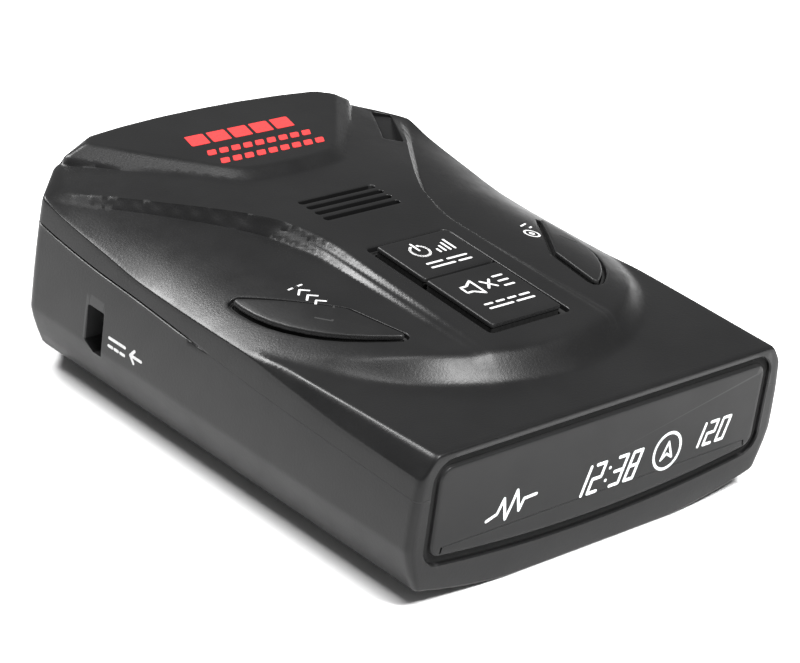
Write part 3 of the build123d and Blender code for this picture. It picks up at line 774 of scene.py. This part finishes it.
# ------------------------------------------------------------ openings in the walls
FACE_MIDDLE_Z = 16.0
WINDOW_HALF, WINDOW_TOP, WINDOW_FOOT, WINDOW_FOOT_MID = 35.0, 9.9, -6.4, -8.75
WINDOW_GROOVE = 1.3
SEAT_DEEP, SEAT_LEDGE, OPENING_DEEP = 2.4, 3.2, 8.0
SEAT_FLARE, SEAT_FLARE_DEEP, SEAT_PROUD = 1.2, 0.2, 1.0


def on_face(points, out):
    """Points given across and up the display face, as places in the case."""
    points = np.asarray(points, float)
    return np.column_stack([points[:, 0], np.full(len(points), FRONT - out),
                            FACE_MIDDLE_Z + points[:, 1]])


def window_loop(inset):
    w = WINDOW_HALF
    foot = arc_points((w, WINDOW_FOOT), (0, WINDOW_FOOT_MID), (-w, WINDOW_FOOT), 24)
    points = [(-w, WINDOW_TOP), (w, WINDOW_TOP)] + foot + [(-w, WINDOW_FOOT)]
    radii = [3.4, 3.4, 3.4] + [60] * 23 + [3.4]
    loop = anticlockwise(round_corners(points, radii, 0.6))
    return loop - outward(loop) * inset


def prism(name, sections, smooth_angle=35):
    """A closed block through rings of places, from its outer end to its inner end."""
    b = Builder()
    rings = [b.ring(s) for s in sections]
    b.cap(rings[0], up=True)
    b.wall(rings)
    b.cap(rings[-1], up=False)
    return make_mesh(name, b, smooth_angle)


seat = window_loop(0)
opening = window_loop(SEAT_LEDGE)
cutter = prism("cutter", [on_face(window_loop(-SEAT_FLARE), SEAT_PROUD), on_face(seat, -SEAT_FLARE_DEEP),
                          on_face(seat, -SEAT_DEEP), on_face(opening, -SEAT_DEEP),
                          on_face(opening, -OPENING_DEEP)])
cut(case_top, cutter)
cut(case_bottom, cutter)
drop(cutter)


def side_prism(name, points, x_outer, x_inner, flare):
    """A block through the left wall, with its outline given as (d, z)."""
    loop = anticlockwise(np.array(points))
    grown = loop + outward(loop) * flare
    sections = []
    for outline, x in ((grown, x_outer), (loop, x_outer + flare), (loop, x_inner)):
        sections.append(np.column_stack([np.full(len(outline), x), FRONT + outline[:, 0],
                                         outline[:, 1]])[::-1])
    return prism(name, sections)


INLET_D, INLET_Z, INLET_WIDE, INLET_HIGH = 71.0, 15.4, 4.0, 7.4
INLET_PROUD, INLET_DEEP, INLET_FLARE = 0.15, 5.0, 0.3
inlet = [(INLET_D - INLET_WIDE / 2, INLET_Z - INLET_HIGH / 2),
         (INLET_D + INLET_WIDE / 2 - 1.9, INLET_Z - INLET_HIGH / 2),
         (INLET_D + INLET_WIDE / 2, INLET_Z - INLET_HIGH / 2 + 1.5),
         (INLET_D + INLET_WIDE / 2, INLET_Z + INLET_HIGH / 2),
         (INLET_D - INLET_WIDE / 2, INLET_Z + INLET_HIGH / 2)]
inlet_x = -float(side_x(INLET_D, INLET_Z))
cutter = side_prism("cutter", round_corners(inlet, 0.35, 0.3), inlet_x - INLET_PROUD,
                    inlet_x + INLET_DEEP, INLET_FLARE)
cut(case_bottom, cutter)
drop(cutter)

LASER_Z, LASER_WIDE, LASER_HIGH = 26.0, 26.0, 6.4
LASER_PROUD, LASER_DEEP = 2, 8
laser_corners = [(x * LASER_WIDE / 2, LASER_Z + z * LASER_HIGH / 2)
                 for x, z in ((-1, -1), (1, -1), (1, 1), (-1, 1))]
laser = round_corners(laser_corners, 1.5, 0.5)
laser_ends = (REAR + LASER_PROUD, REAR - LASER_DEEP)
cutter = prism("cutter", [[(-x, y, z) for x, z in anticlockwise(laser)] for y in laser_ends])
cut(case_top, cutter)
cut(case_bottom, cutter)
drop(cutter)

for piece, node in ((case_top, "upper_case"), (case_bottom, "lower_case")):
    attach(piece, "root")
    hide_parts(node)


# ------------------------------------------------------------ keys
KEY_BOTTOM = 26.0


def build_cap(name, loop, height, radius, body, node):
    """A key cap, with a rounded top edge and an underside that follows its top."""
    b = Builder()
    normal = outward(loop)
    rings = []
    for e in (1.0, 0.65, 0.35, 0.12, 0.0):
        plan = loop - normal * radius * e
        z = height(plan[:, 0], plan[:, 1]) - rounding(radius, e)
        rings.append(b.ring(with_z(plan, z)))
    below = CAP_DEEP
    rings.append(b.ring(with_z(loop, height(loop[:, 0], loop[:, 1]) - below)))
    b.wall(rings)
    fill = fill_near(loop, 0.6)
    b.skin(rings[-1], [], fill, lambda x, y: height(x, y) - below, up=False)
    b.skin(rings[0], [], fill, height)
    piece = make_mesh(name, b, 40)
    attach(piece, body)
    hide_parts(node)
    build_shade_skirt(name + "_skirt", loop - normal * SKIRT_INSET, height, body)
    return piece


CAP_DEEP = 0.62                 # from a cap's top to its underside
SKIRT_INSET = 0.12
SKIRT_GAP = 0.02


def build_shade_skirt(name, loop, height, body):
    """The rubber foot under a key cap: part of a real keypad, and black as painted shade, so the cap's side
    and the gap beside it read as shadow.
    """
    b = Builder()
    under = CAP_DEEP + SKIRT_GAP
    top = b.ring(with_z(loop, height(loop[:, 0], loop[:, 1]) - under))
    foot = b.ring(with_z(loop, KEY_BOTTOM))
    b.band(top, foot)
    b.skin(top, [], fill_near(loop, 1.2), lambda x, y: height(x, y) - under)
    b.cap(foot, up=False)
    piece = make_mesh(name, b)
    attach(piece, body)
    dark_shade_pieces.append(piece)


# key skirts and mats in black rubber: partly real rubber, partly painted shade in the gaps round the keys
dark_shade_pieces = []


def centre_key_top(x, y):
    d = y - FRONT
    return 32.0 + (d - KEY_FRONT) * (33.8 - 32.0) / (KEY_REAR - KEY_FRONT)


def leaf_top(x, y):
    """The side keys stand a little above the lobes and carry their curve on."""
    return soft_max(top_z(x, y - FRONT) + 0.45, np.full_like(x, 28.0), 0.2)


half_split = SPLIT_GAP / 2
key_pieces = {
    "mute": build_cap("key_front", rectangle(-KEY_HALF, KEY_HALF, KEY_FRONT, KEY_SPLIT - half_split, 0.45),
                      centre_key_top, 0.38, "mute_key", "mute_button"),
    "power": build_cap("key_rear", rectangle(-KEY_HALF, KEY_HALF, KEY_SPLIT + half_split, KEY_REAR, 0.45),
                       centre_key_top, 0.38, "power_key", "power_button"),
    "left": build_cap("key_left", leaf(-1, 0.0), leaf_top, 0.35, "left_key", "left_button"),
    "right": build_cap("key_right", leaf(1, 0.0), leaf_top, 0.35, "right_key", "right_button"),
}


# ------------------------------------------------------------ key mats, black as partly painted shade
def build_shade_mat(name, loop, inner_loops, depth):
    """The rubber that fills a key well below the caps, open round each cap; its black is partly real rubber
    and partly painted shade seen down the gaps.
    """
    b = Builder()

    def level(drop_by):
        return lambda x, y: top_z(x, y - FRONT) - drop_by
    top, bottom = level(depth), level(depth + 0.5)
    outer = [b.ring(with_z(loop, f(loop[:, 0], loop[:, 1]))) for f in (top, bottom)]
    b.band(outer[0], outer[1])
    holes = []
    for inner in inner_loops:
        rings = [b.ring(with_z(inner, f(inner[:, 0], inner[:, 1]))) for f in (top, bottom)]
        b.band(rings[0][::-1], rings[1][::-1])
        holes.append(rings)
    b.skin(outer[0], [h[0] for h in holes], fill_near(loop, 2.0), top)
    b.skin(outer[1], [h[1] for h in holes], fill_near(loop, 2.0), bottom, up=False)
    piece = make_mesh(name, b)
    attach(piece, "root")
    return piece


mat_gap, mat_inset = 0.12, 0.04
well = rectangle(-KEY_HALF - KEY_GAP, KEY_HALF + KEY_GAP, KEY_FRONT - KEY_GAP, KEY_REAR + KEY_GAP, 0.8)
dark_shade_pieces += [build_shade_mat("key_mat_centre", well - outward(well) * mat_inset,
                  [rectangle(-KEY_HALF - mat_gap, KEY_HALF + mat_gap, KEY_FRONT - mat_gap,
                             KEY_REAR + mat_gap, 0.5)], 0.85)]
for side, name in ((-1, "key_mat_left"), (1, "key_mat_right")):
    dark_shade_pieces.append(build_shade_mat(name, leaf(side, LEAF_GAP - mat_inset), [leaf(side, mat_gap)], 0.7))

# ------------------------------------------------------------ display window
PLATE_SUNK = 0.05
window_rings = []
for out, inset in ((0.0, 1.4), (0.0, 0.8), (0.0, 0.4), (-0.03, 0.25), (-0.1, 0.1), (-0.25, 0.0),
                   (-SEAT_DEEP, 0.0)):
    window_rings.append(on_face(window_loop(WINDOW_GROOVE + inset), out - PLATE_SUNK))
window_piece = prism("window_plate", window_rings, 40)
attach(window_piece, "root")
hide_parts("display_window")


# ------------------------------------------------------------ printed and lit marks
def stroke_loops(strokes, width):
    """Flat outlines of round-ended strokes, in the plane they are given in."""
    loops = []
    for p, q in strokes:
        p, q = np.array(p, float), np.array(q, float)
        along = q - p
        size = np.linalg.norm(along)
        angle = math.atan2(along[1], along[0]) if size else 0
        half = width / 2
        loop = []
        for centre, start in ((q, angle - math.pi / 2), (p, angle + math.pi / 2)):
            for k in range(7):
                a = start + math.pi * k / 6
                loop.append(centre + half * np.array([math.cos(a), math.sin(a)]))
        loops.append(np.array(loop))
    return loops


def build_marks(name, loops, place, thickness, body):
    """Thin printed shapes laid on a surface: place takes plan points and a height."""
    b = Builder()
    for loop in loops:
        loop = anticlockwise(np.array(loop))
        top = b.ring(place(loop, thickness))
        bottom = b.ring(place(loop, -0.02))
        b.cap(top, up=True)
        b.band(top, bottom)
        b.cap(bottom, up=False)
    piece = make_mesh(name, b)
    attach(piece, body)
    return piece


def digit(shape, x, v, wide, high, slant=0.32):
    """A numeral's strokes, with its foot at (x, v)."""
    corners = {"a": ((0, 1), (1, 1)), "b": ((1, 1), (1, 0.5)), "c": ((1, 0.5), (1, 0)),
               "d": ((0, 0), (1, 0)), "e": ((0, 0.5), (0, 0)), "f": ((0, 1), (0, 0.5)),
               "g": ((0, 0.5), (1, 0.5))}
    segments = {"0": "abcdef", "1": "bc", "2": "abged", "3": "abgcd", "4": "fgbc", "5": "afgcd",
                "6": "afgedc", "7": "abc", "8": "abcdefg", "9": "abcdfg"}[shape]
    out = []
    for s in segments:
        out.append([(x + wide * u + slant * high * w, v + high * w) for u, w in corners[s]])
    return out


def numerals(text, x, v, wide, high, pitch):
    strokes = []
    for shape in text:
        if shape == ":":
            for w in (0.28, 0.72):
                at = (x + 0.1 + 0.32 * high * w, v + high * w)
                strokes.append((at, (at[0] + 0.01, at[1])))
            x += pitch * 0.5
        else:
            strokes += digit(shape, x, v, wide, high)
            x += pitch
    return strokes


def face_place(loop, lift):
    return on_face(loop, lift - PLATE_SUNK)


def face_v(z):
    return z - FACE_MIDDLE_Z


wave = [(-23.4, 13.6), (-21.4, 14.2), (-20.3, 16.4), (-19.6, 12.9), (-18.7, 14.8), (-17.8, 17.1),
        (-17.0, 13.6), (-16.2, 15.3), (-13.8, 15.4)]
wave = [(x, face_v(z)) for x, z in wave]
glyphs = stroke_loops(list(zip(wave, wave[1:])), 0.5)
glyphs += stroke_loops(numerals("12:38", -5.9, face_v(12.2), 1.8, 4.4, 3.1), 0.55)
glyphs += stroke_loops(numerals("120", 19.2, face_v(13.6), 1.6, 3.6, 2.8), 0.5)
ring_at = (13.8, face_v(14.8))
ring_points = [(ring_at[0] + 2.9 * math.cos(a), ring_at[1] + 3.0 * math.sin(a))
               for a in np.linspace(0, 2 * math.pi, 33)]
glyphs += stroke_loops(list(zip(ring_points, ring_points[1:])), 0.5)
arrow = [(-1.2, -1.3), (0.1, 1.5), (1.2, -1.3), (0.0, -0.5), (-1.2, -1.3)]
arrow = [(ring_at[0] + x, ring_at[1] + v) for x, v in arrow]
glyphs += stroke_loops(list(zip(arrow, arrow[1:])), 0.4)
display_glyphs = build_marks("display_figures", glyphs, face_place, 0.02, "root")


def top_place(loop, lift):
    return with_z(loop, top_height(loop) + lift)


def key_place(loop, lift):
    return with_z(loop, centre_key_top(loop[:, 0], loop[:, 1]) + lift)


def leaf_place(loop, lift):
    return with_z(loop, leaf_top(loop[:, 0], loop[:, 1]) + lift)


def plan_strokes(strokes, width):
    return [loop + (0, FRONT) for loop in stroke_loops(strokes, width)]


def ring_strokes(x, d, radius, start=0.0, stop=360.0, count=20):
    a = np.radians(np.linspace(start, stop, count + 1))
    points = [(x + radius * math.cos(k), d + radius * math.sin(k)) for k in a]
    return list(zip(points, points[1:]))


# front key: a crossed-out sounder over a row of bars
front_marks = [((-4.0, 28.0), (-2.8, 28.0)), ((-4.0, 28.0), (-4.0, 29.6)), ((-4.0, 29.6), (-2.8, 29.6)),
               ((-2.8, 28.0), (-1.2, 26.9)), ((-1.2, 26.9), (-1.2, 30.7)), ((-1.2, 30.7), (-2.8, 29.6)),
               ((0.2, 27.8), (2.0, 29.8)), ((0.2, 29.8), (2.0, 27.8)),
               ((3.2, 27.4), (5.0, 27.4)), ((3.2, 28.8), (5.0, 28.8)), ((3.2, 30.2), (5.0, 30.2)),
               ((-4.0, 24.2), (-2.6, 24.2)), ((-1.6, 24.2), (-0.2, 24.2)), ((0.8, 24.2), (2.2, 24.2)),
               ((3.2, 24.2), (5.0, 24.2)), ((-4.0, 23.0), (0.6, 23.0)), ((1.6, 23.0), (5.0, 23.0))]
build_marks("key_front_print", plan_strokes(front_marks, 0.42), key_place, 0.015, "mute_key")
# rear key: a ring with a bar over a rising wedge
rear_marks = ring_strokes(-1.8, 41.0, 1.6, 115, 425) + [((-1.8, 41.2), (-1.8, 43.2))]
rear_marks += [((1.2 + k * 1.0, 39.6), (1.2 + k * 1.0, 40.4 + k * 0.65)) for k in range(4)]
rear_marks += [((-3.6, 37.4), (-0.6, 37.4)), ((0.6, 37.4), (4.4, 37.4)), ((-3.6, 36.2), (1.0, 36.2)),
               ((2.0, 36.2), (4.4, 36.2))]
build_marks("key_rear_print", plan_strokes(rear_marks, 0.42), key_place, 0.015, "power_key")
# beside the left key: three chevrons; beside the right key: a ring under a bar
left_marks = []
for k in range(3):
    d = 38.6 + k * 1.9
    left_marks += [((-24.3, d), (-23.3, d + 1.0)), ((-23.3, d + 1.0), (-22.3, d))]
left_marks += [((-24.5, 44.4), (-22.1, 44.4))]
build_marks("left_print", plan_strokes(left_marks, 0.34), top_place, 0.015, "root")
right_marks = ring_strokes(24.0, 42.3, 1.25) + ring_strokes(24.0, 42.3, 0.35, count=8)
right_marks += [((24.4, 45.2), (26.2, 46.0)), ((25.6, 44.4), (26.4, 44.8))]
build_marks("right_print", plan_strokes(right_marks, 0.34), top_place, 0.015, "root")
chevron = [((-26.9, 35.6), (-25.6, 33.3)), ((-25.6, 33.3), (-22.9, 36.2))]
build_marks("key_left_mark", plan_strokes(chevron, 0.3), leaf_place, 0.012, "left_key")
dash = [((28.4, 40.2), (29.7, 37.9))]
build_marks("key_right_mark", plan_strokes(dash, 0.45), leaf_place, 0.012, "right_key")


def side_place(loop, lift):
    x = -(side_x(loop[:, 0], loop[:, 1]) + lift)
    return np.column_stack([x, FRONT + loop[:, 0], loop[:, 1]])[::-1]


# beside the inlet: the sign for direct current
inlet_marks = [((67.2, 15.9), (63.4, 15.9)), ((67.2, 14.6), (66.3, 14.6)), ((65.7, 14.6), (64.9, 14.6)),
               ((64.3, 14.6), (63.4, 14.6)), ((62.0, 15.3), (59.4, 15.3)), ((62.0, 15.3), (61.1, 16.3)),
               ((62.0, 15.3), (61.1, 14.3))]
build_marks("inlet_print", stroke_loops(inlet_marks, 0.5), side_place, 0.015, "root")

# ------------------------------------------------------------ pad stripes
badge = []
for d, deep, count, wide in ((86.6, 3.6, 5, 3.7), (81.6, 1.7, 9, 1.75), (78.2, 1.7, 9, 1.75)):
    pitch = wide + 0.7
    for k in range(count):
        x = (k - (count - 1) / 2) * pitch
        corners = [(x - wide / 2 - 0.55, d - deep / 2), (x + wide / 2 - 0.55, d - deep / 2),
                   (x + wide / 2 + 0.55, d + deep / 2), (x - wide / 2 + 0.55, d + deep / 2)]
        badge.append(round_corners(corners, 0.25, 0.3) + (0, FRONT))
badge_piece = build_marks("pad_stripes", badge, lambda loop, lift: with_z(loop, PAD_Z + lift), 0.05,
                          "root")
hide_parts("pad_badge")


# ------------------------------------------------------------ materials
class Nodes:
    """Short names for building a shader."""

    def __init__(self, name):
        self.material = bpy.data.materials.new(name)
        self.material.use_nodes = True
        self.tree = self.material.node_tree
        self.shader = self.tree.nodes["Principled BSDF"]
        coords = self.tree.nodes.new("ShaderNodeTexCoord")
        self.place = coords.outputs["Object"]

    def link(self, a, b):
        self.tree.links.new(a, b)

    def noise(self, scale, detail=4.0, roughness=0.55, stretch=None):
        node = self.tree.nodes.new("ShaderNodeTexNoise")
        node.inputs["Scale"].default_value = scale
        node.inputs["Detail"].default_value = detail
        node.inputs["Roughness"].default_value = roughness
        if stretch:
            mapping = self.tree.nodes.new("ShaderNodeMapping")
            mapping.inputs["Scale"].default_value = stretch
            self.link(self.place, mapping.inputs["Vector"])
            self.link(mapping.outputs["Vector"], node.inputs["Vector"])
        else:
            self.link(self.place, node.inputs["Vector"])
        return node.outputs["Fac"]

    def cells(self, scale):
        node = self.tree.nodes.new("ShaderNodeTexVoronoi")
        node.inputs["Scale"].default_value = scale
        self.link(self.place, node.inputs["Vector"])
        return node.outputs["Distance"]

    def spread(self, value, low, high, to_low, to_high):
        node = self.tree.nodes.new("ShaderNodeMapRange")
        for socket, number in (("From Min", low), ("From Max", high), ("To Min", to_low),
                               ("To Max", to_high)):
            node.inputs[socket].default_value = number
        self.link(value, node.inputs["Value"])
        return node.outputs["Result"]

    def blend(self, factor, a, b):
        """Mixes two colours, each a colour or a socket."""
        node = self.tree.nodes.new("ShaderNodeMix")
        node.data_type = "RGBA"
        for socket, value in ((node.inputs[6], a), (node.inputs[7], b)):
            if hasattr(value, "is_linked"):
                self.link(value, socket)
            else:
                socket.default_value = (*value, 1)
        self.link(factor, node.inputs[0])
        return node.outputs[2]

    def bump(self, height, strength, distance, below=None):
        node = self.tree.nodes.new("ShaderNodeBump")
        node.inputs["Strength"].default_value = strength
        node.inputs["Distance"].default_value = distance
        self.link(height, node.inputs["Height"])
        if below is not None:
            self.link(below, node.inputs["Normal"])
        return node.outputs["Normal"]

    def wear(self, width):
        """1 on convex edges, 0 elsewhere."""
        geometry = self.tree.nodes.new("ShaderNodeNewGeometry")
        return self.spread(geometry.outputs["Pointiness"], 0.5 + width, 0.5 + width * 3, 0, 1)

    def set(self, **values):
        for socket, value in values.items():
            target = self.shader.inputs[socket.replace("_", " ")]
            if hasattr(value, "is_linked"):
                self.link(value, target)
            elif isinstance(value, tuple):
                target.default_value = (*value, 1)
            else:
                target.default_value = value


def moulded(name, dark, light, rough, grain=2600, bump=0.35, specular=0.22):
    """Fine-textured plastic: mould grain, faint mottling and lighter edges."""
    n = Nodes(name)
    mottle = n.noise(55, 3)
    colour = n.blend(n.spread(mottle, 0.35, 0.65, 0, 1), dark, light)
    edge = tuple(min(1, c * 1.7 + 0.01) for c in light)
    colour = n.blend(n.wear(0.03), colour, edge)
    fine = n.noise(grain, 3, 0.6)
    smudge = n.noise(160, 5, 0.6)
    roughness = n.spread(smudge, 0.3, 0.7, rough - 0.05, rough + 0.06)
    normal = n.bump(fine, bump, 0.00006)
    normal = n.bump(n.noise(420, 2), 0.12, 0.00005, normal)
    n.set(Base_Color=colour, Roughness=roughness, Normal=normal, Specular_IOR_Level=specular)
    return n.material


def metal(name, colour, rough, stretch=None):
    n = Nodes(name)
    streak = n.noise(900, 4, 0.6, stretch)
    dull = tuple(c * 0.8 for c in colour)
    n.set(Base_Color=n.blend(n.spread(streak, 0.3, 0.7, 0, 1), colour, dull), Metallic=1.0,
          Roughness=n.spread(n.noise(300, 4), 0.3, 0.7, rough - 0.06, rough + 0.08),
          Normal=n.bump(streak, 0.2, 0.00004))
    return n.material


def printed(name, colour, rough=0.55):
    """Pad-printed ink, a little thin in places."""
    n = Nodes(name)
    thin = n.noise(1500, 4, 0.7)
    worn = tuple(c * 0.72 for c in colour)
    n.set(Base_Color=n.blend(n.spread(thin, 0.45, 0.75, 0, 1), colour, worn), Roughness=rough,
          Normal=n.bump(thin, 0.25, 0.00002))
    return n.material


def lit(name, colour, strength):
    n = Nodes(name)
    flicker = n.noise(900, 2)
    shade = n.blend(n.spread(flicker, 0.3, 0.7, 0, 1), colour, tuple(c * 0.8 for c in colour))
    n.set(Base_Color=shade, Emission_Color=shade, Emission_Strength=strength, Roughness=0.4)
    return n.material


def board(name):
    """Solder mask with traces that show faintly through it."""
    n = Nodes(name)
    traces = n.cells(420)
    line = n.spread(traces, 0.0, 0.12, 1, 0)
    colour = n.blend(line, (0.012, 0.09, 0.04), (0.03, 0.17, 0.07))
    n.set(Base_Color=colour, Roughness=n.spread(n.noise(200), 0.3, 0.7, 0.28, 0.4),
          Normal=n.bump(line, 0.3, 0.00004))
    return n.material


def woven(name, colour, scale=2600):
    n = Nodes(name)
    waves = []
    for direction in ("X", "Y"):
        wave_node = n.tree.nodes.new("ShaderNodeTexWave")
        wave_node.bands_direction = direction
        wave_node.inputs["Scale"].default_value = scale
        n.link(n.place, wave_node.inputs["Vector"])
        waves.append(wave_node.outputs["Fac"])
    both = n.tree.nodes.new("ShaderNodeMath")
    both.operation = "MULTIPLY"
    n.link(waves[0], both.inputs[0])
    n.link(waves[1], both.inputs[1])
    weave = both.outputs["Value"]
    n.set(Base_Color=n.blend(weave, tuple(c * 0.5 for c in colour), colour), Roughness=0.9,
          Normal=n.bump(weave, 0.6, 0.0001), Sheen_Weight=0.2)
    return n.material


materials = {
    "case_plastic": moulded("case_plastic", (0.008, 0.008, 0.0082), (0.010, 0.010, 0.0102), 0.33),
    "key_plastic": moulded("key_plastic", (0.008, 0.008, 0.0082), (0.010, 0.010, 0.0102), 0.38, 2200, 0.3),
    "window_plastic": moulded("window_plastic", (0.012, 0.012, 0.0122), (0.014, 0.014, 0.0142), 0.36,
                              1400, 0.06, 0.18),
    "laser_plastic": moulded("laser_plastic", (0.020, 0.003, 0.004), (0.028, 0.004, 0.005), 0.12,
                             900, 0.04, 0.5),
    # black_rubber also colours the key skirts and mats, where its black is partly painted shade in the key
    # gaps
    "black_rubber": moulded("black_rubber", (0.003, 0.003, 0.003), (0.005, 0.005, 0.005), 0.85, 1800,
                            0.5, 0.1),
    "black_plastic": moulded("black_plastic", (0.006, 0.006, 0.006), (0.009, 0.009, 0.009), 0.6, 1600,
                             0.3, 0.2),
    "display_glass": moulded("display_glass", (0.010, 0.012, 0.014), (0.014, 0.016, 0.018), 0.1,
                             500, 0.02, 0.5),
    "circuit_board": board("circuit_board"),
    "flex_film": moulded("flex_film", (0.35, 0.15, 0.03), (0.45, 0.22, 0.05), 0.35, 900, 0.1),
    "screw_steel": metal("screw_steel", (0.30, 0.30, 0.31), 0.35),
    "socket_metal": metal("socket_metal", (0.62, 0.62, 0.62), 0.3, (1, 8, 1)),
    "contact_brass": metal("contact_brass", (0.8, 0.6, 0.25), 0.25, (8, 1, 1)),
    "horn_metal": metal("horn_metal", (0.6, 0.6, 0.61), 0.5),
    "speaker_metal": moulded("speaker_metal", (0.02, 0.02, 0.02), (0.03, 0.03, 0.03), 0.4, 1500, 0.2),
    "patch_ceramic": moulded("patch_ceramic", (0.5, 0.43, 0.32), (0.62, 0.55, 0.42), 0.6, 1900, 0.4),
    "lens_glass": moulded("lens_glass", (0.3, 0.32, 0.34), (0.36, 0.38, 0.4), 0.08, 400, 0.02),
    "speaker_cloth": woven("speaker_cloth", (0.012, 0.012, 0.012)),
    "label_film": metal("label_film", (0.5, 0.5, 0.51), 0.45, (1, 12, 1)),
    "badge_print": printed("badge_print", (0.62, 0.03, 0.03)),
}
white_print = printed("white_print", (0.62, 0.62, 0.62))
lit_figures = lit("lit_figures", (0.80, 0.82, 0.82), 0.55)

slots = {s["node"]: s["material_slot"] for s in frame["record"]["subparts"]}
for node, slot in slots.items():
    for material_slot in bpy.data.objects[node].material_slots:
        material_slot.material = materials[slot]
    if not bpy.data.objects[node].material_slots:
        bpy.data.objects[node].data.materials.append(materials[slot])


def paint(piece, material):
    piece.data.materials.clear()
    piece.data.materials.append(material)


paint(case_top, materials["case_plastic"])
paint(case_bottom, materials["case_plastic"])
for piece in key_pieces.values():
    paint(piece, materials["key_plastic"])
# the key skirts and mats get black rubber, partly real rubber and partly painted shade in the gaps round the
# keys
for piece in dark_shade_pieces:
    paint(piece, materials["black_rubber"])
paint(window_piece, materials["window_plastic"])
paint(badge_piece, materials["badge_print"])
paint(display_glyphs, lit_figures)
for name in ("key_front_print", "key_rear_print", "left_print", "right_print", "inlet_print"):
    paint(bpy.data.objects[name], white_print)
for name in ("key_left_mark", "key_right_mark"):
    paint(bpy.data.objects[name], materials["black_plastic"])

# ------------------------------------------------------------ floor, light and camera
floor_mesh = bpy.data.meshes.new("floor")
FLOOR_HALF = 3.0                # metres
floor_corners = [(x * FLOOR_HALF, y * FLOOR_HALF, 0) for x, y in ((-1, -1), (1, -1), (1, 1), (-1, 1))]
floor_mesh.from_pydata(floor_corners, [], [(0, 1, 2, 3)])
floor = bpy.data.objects.new("floor", floor_mesh)
bpy.context.scene.collection.objects.link(floor)
ground = Nodes("floor_paper")
ground.set(Base_Color=ground.blend(ground.noise(3, 2), (0.90, 0.90, 0.90), (0.93, 0.93, 0.93)), Roughness=0.8,
           Specular_IOR_Level=0.1)
floor.data.materials.append(ground.material)

world = bpy.data.worlds.new("studio")
world.use_nodes = True
world.node_tree.nodes["Background"].inputs["Color"].default_value = (1, 1, 1, 1)
world.node_tree.nodes["Background"].inputs["Strength"].default_value = 0.22
bpy.context.scene.world = world


def area_light(name, direction, distance, wide, high, power):
    """A soft panel in that direction from the middle of the case, facing it."""
    middle = Vector((0, 0, 0.018))
    toward = Vector(direction).normalized()
    light = bpy.data.lights.new(name, "AREA")
    light.shape, light.size, light.size_y, light.energy = "RECTANGLE", wide, high, power
    lamp = bpy.data.objects.new(name, light)
    lamp.location = middle + toward * distance
    lamp.rotation_euler = toward.to_track_quat("Z", "Y").to_euler()
    bpy.context.scene.collection.objects.link(lamp)


area_light("key", (0.10, -0.53, 0.84), 0.9, 0.26, 0.20, 12.0)
area_light("overhead", (-0.08, 0.0, 1.0), 0.9, 0.26, 0.26, 3.0)
area_light("rear", (-0.22, 0.63, 0.74), 0.9, 0.34, 0.22, 11.0)

AZIMUTH, ELEVATION, ROLL = map(math.radians, (-45.61, 25.52, 7.91))
AIM = Vector((0, 1.0, 18.2 - BASE))
DISTANCE, ASIDE, ABOVE = 423.94, -3.55, 2.36
LENS, SENSOR = 122.70, 36
back = Vector((math.sin(AZIMUTH) * math.cos(ELEVATION), -math.cos(AZIMUTH) * math.cos(ELEVATION),
               math.sin(ELEVATION)))
right = (-back).cross(Vector((0, 0, 1))).normalized()
up = right.cross(-back)
rolled_right = math.cos(ROLL) * right + math.sin(ROLL) * up
rolled_up = -math.sin(ROLL) * right + math.cos(ROLL) * up
camera_data = bpy.data.cameras.new("camera")
camera_data.lens, camera_data.sensor_width = LENS, SENSOR
camera_data.clip_start, camera_data.clip_end = 0.01, 20
camera = bpy.data.objects.new("camera", camera_data)
place = (AIM + back * DISTANCE - rolled_right * ASIDE - rolled_up * ABOVE) * MM
rotation = Matrix((rolled_right, rolled_up, back)).transposed()
camera.matrix_world = Matrix.Translation(place) @ rotation.to_4x4()
bpy.context.scene.collection.objects.link(camera)
bpy.context.scene.camera = camera
bpy.context.scene.view_settings.view_transform = "Standard"
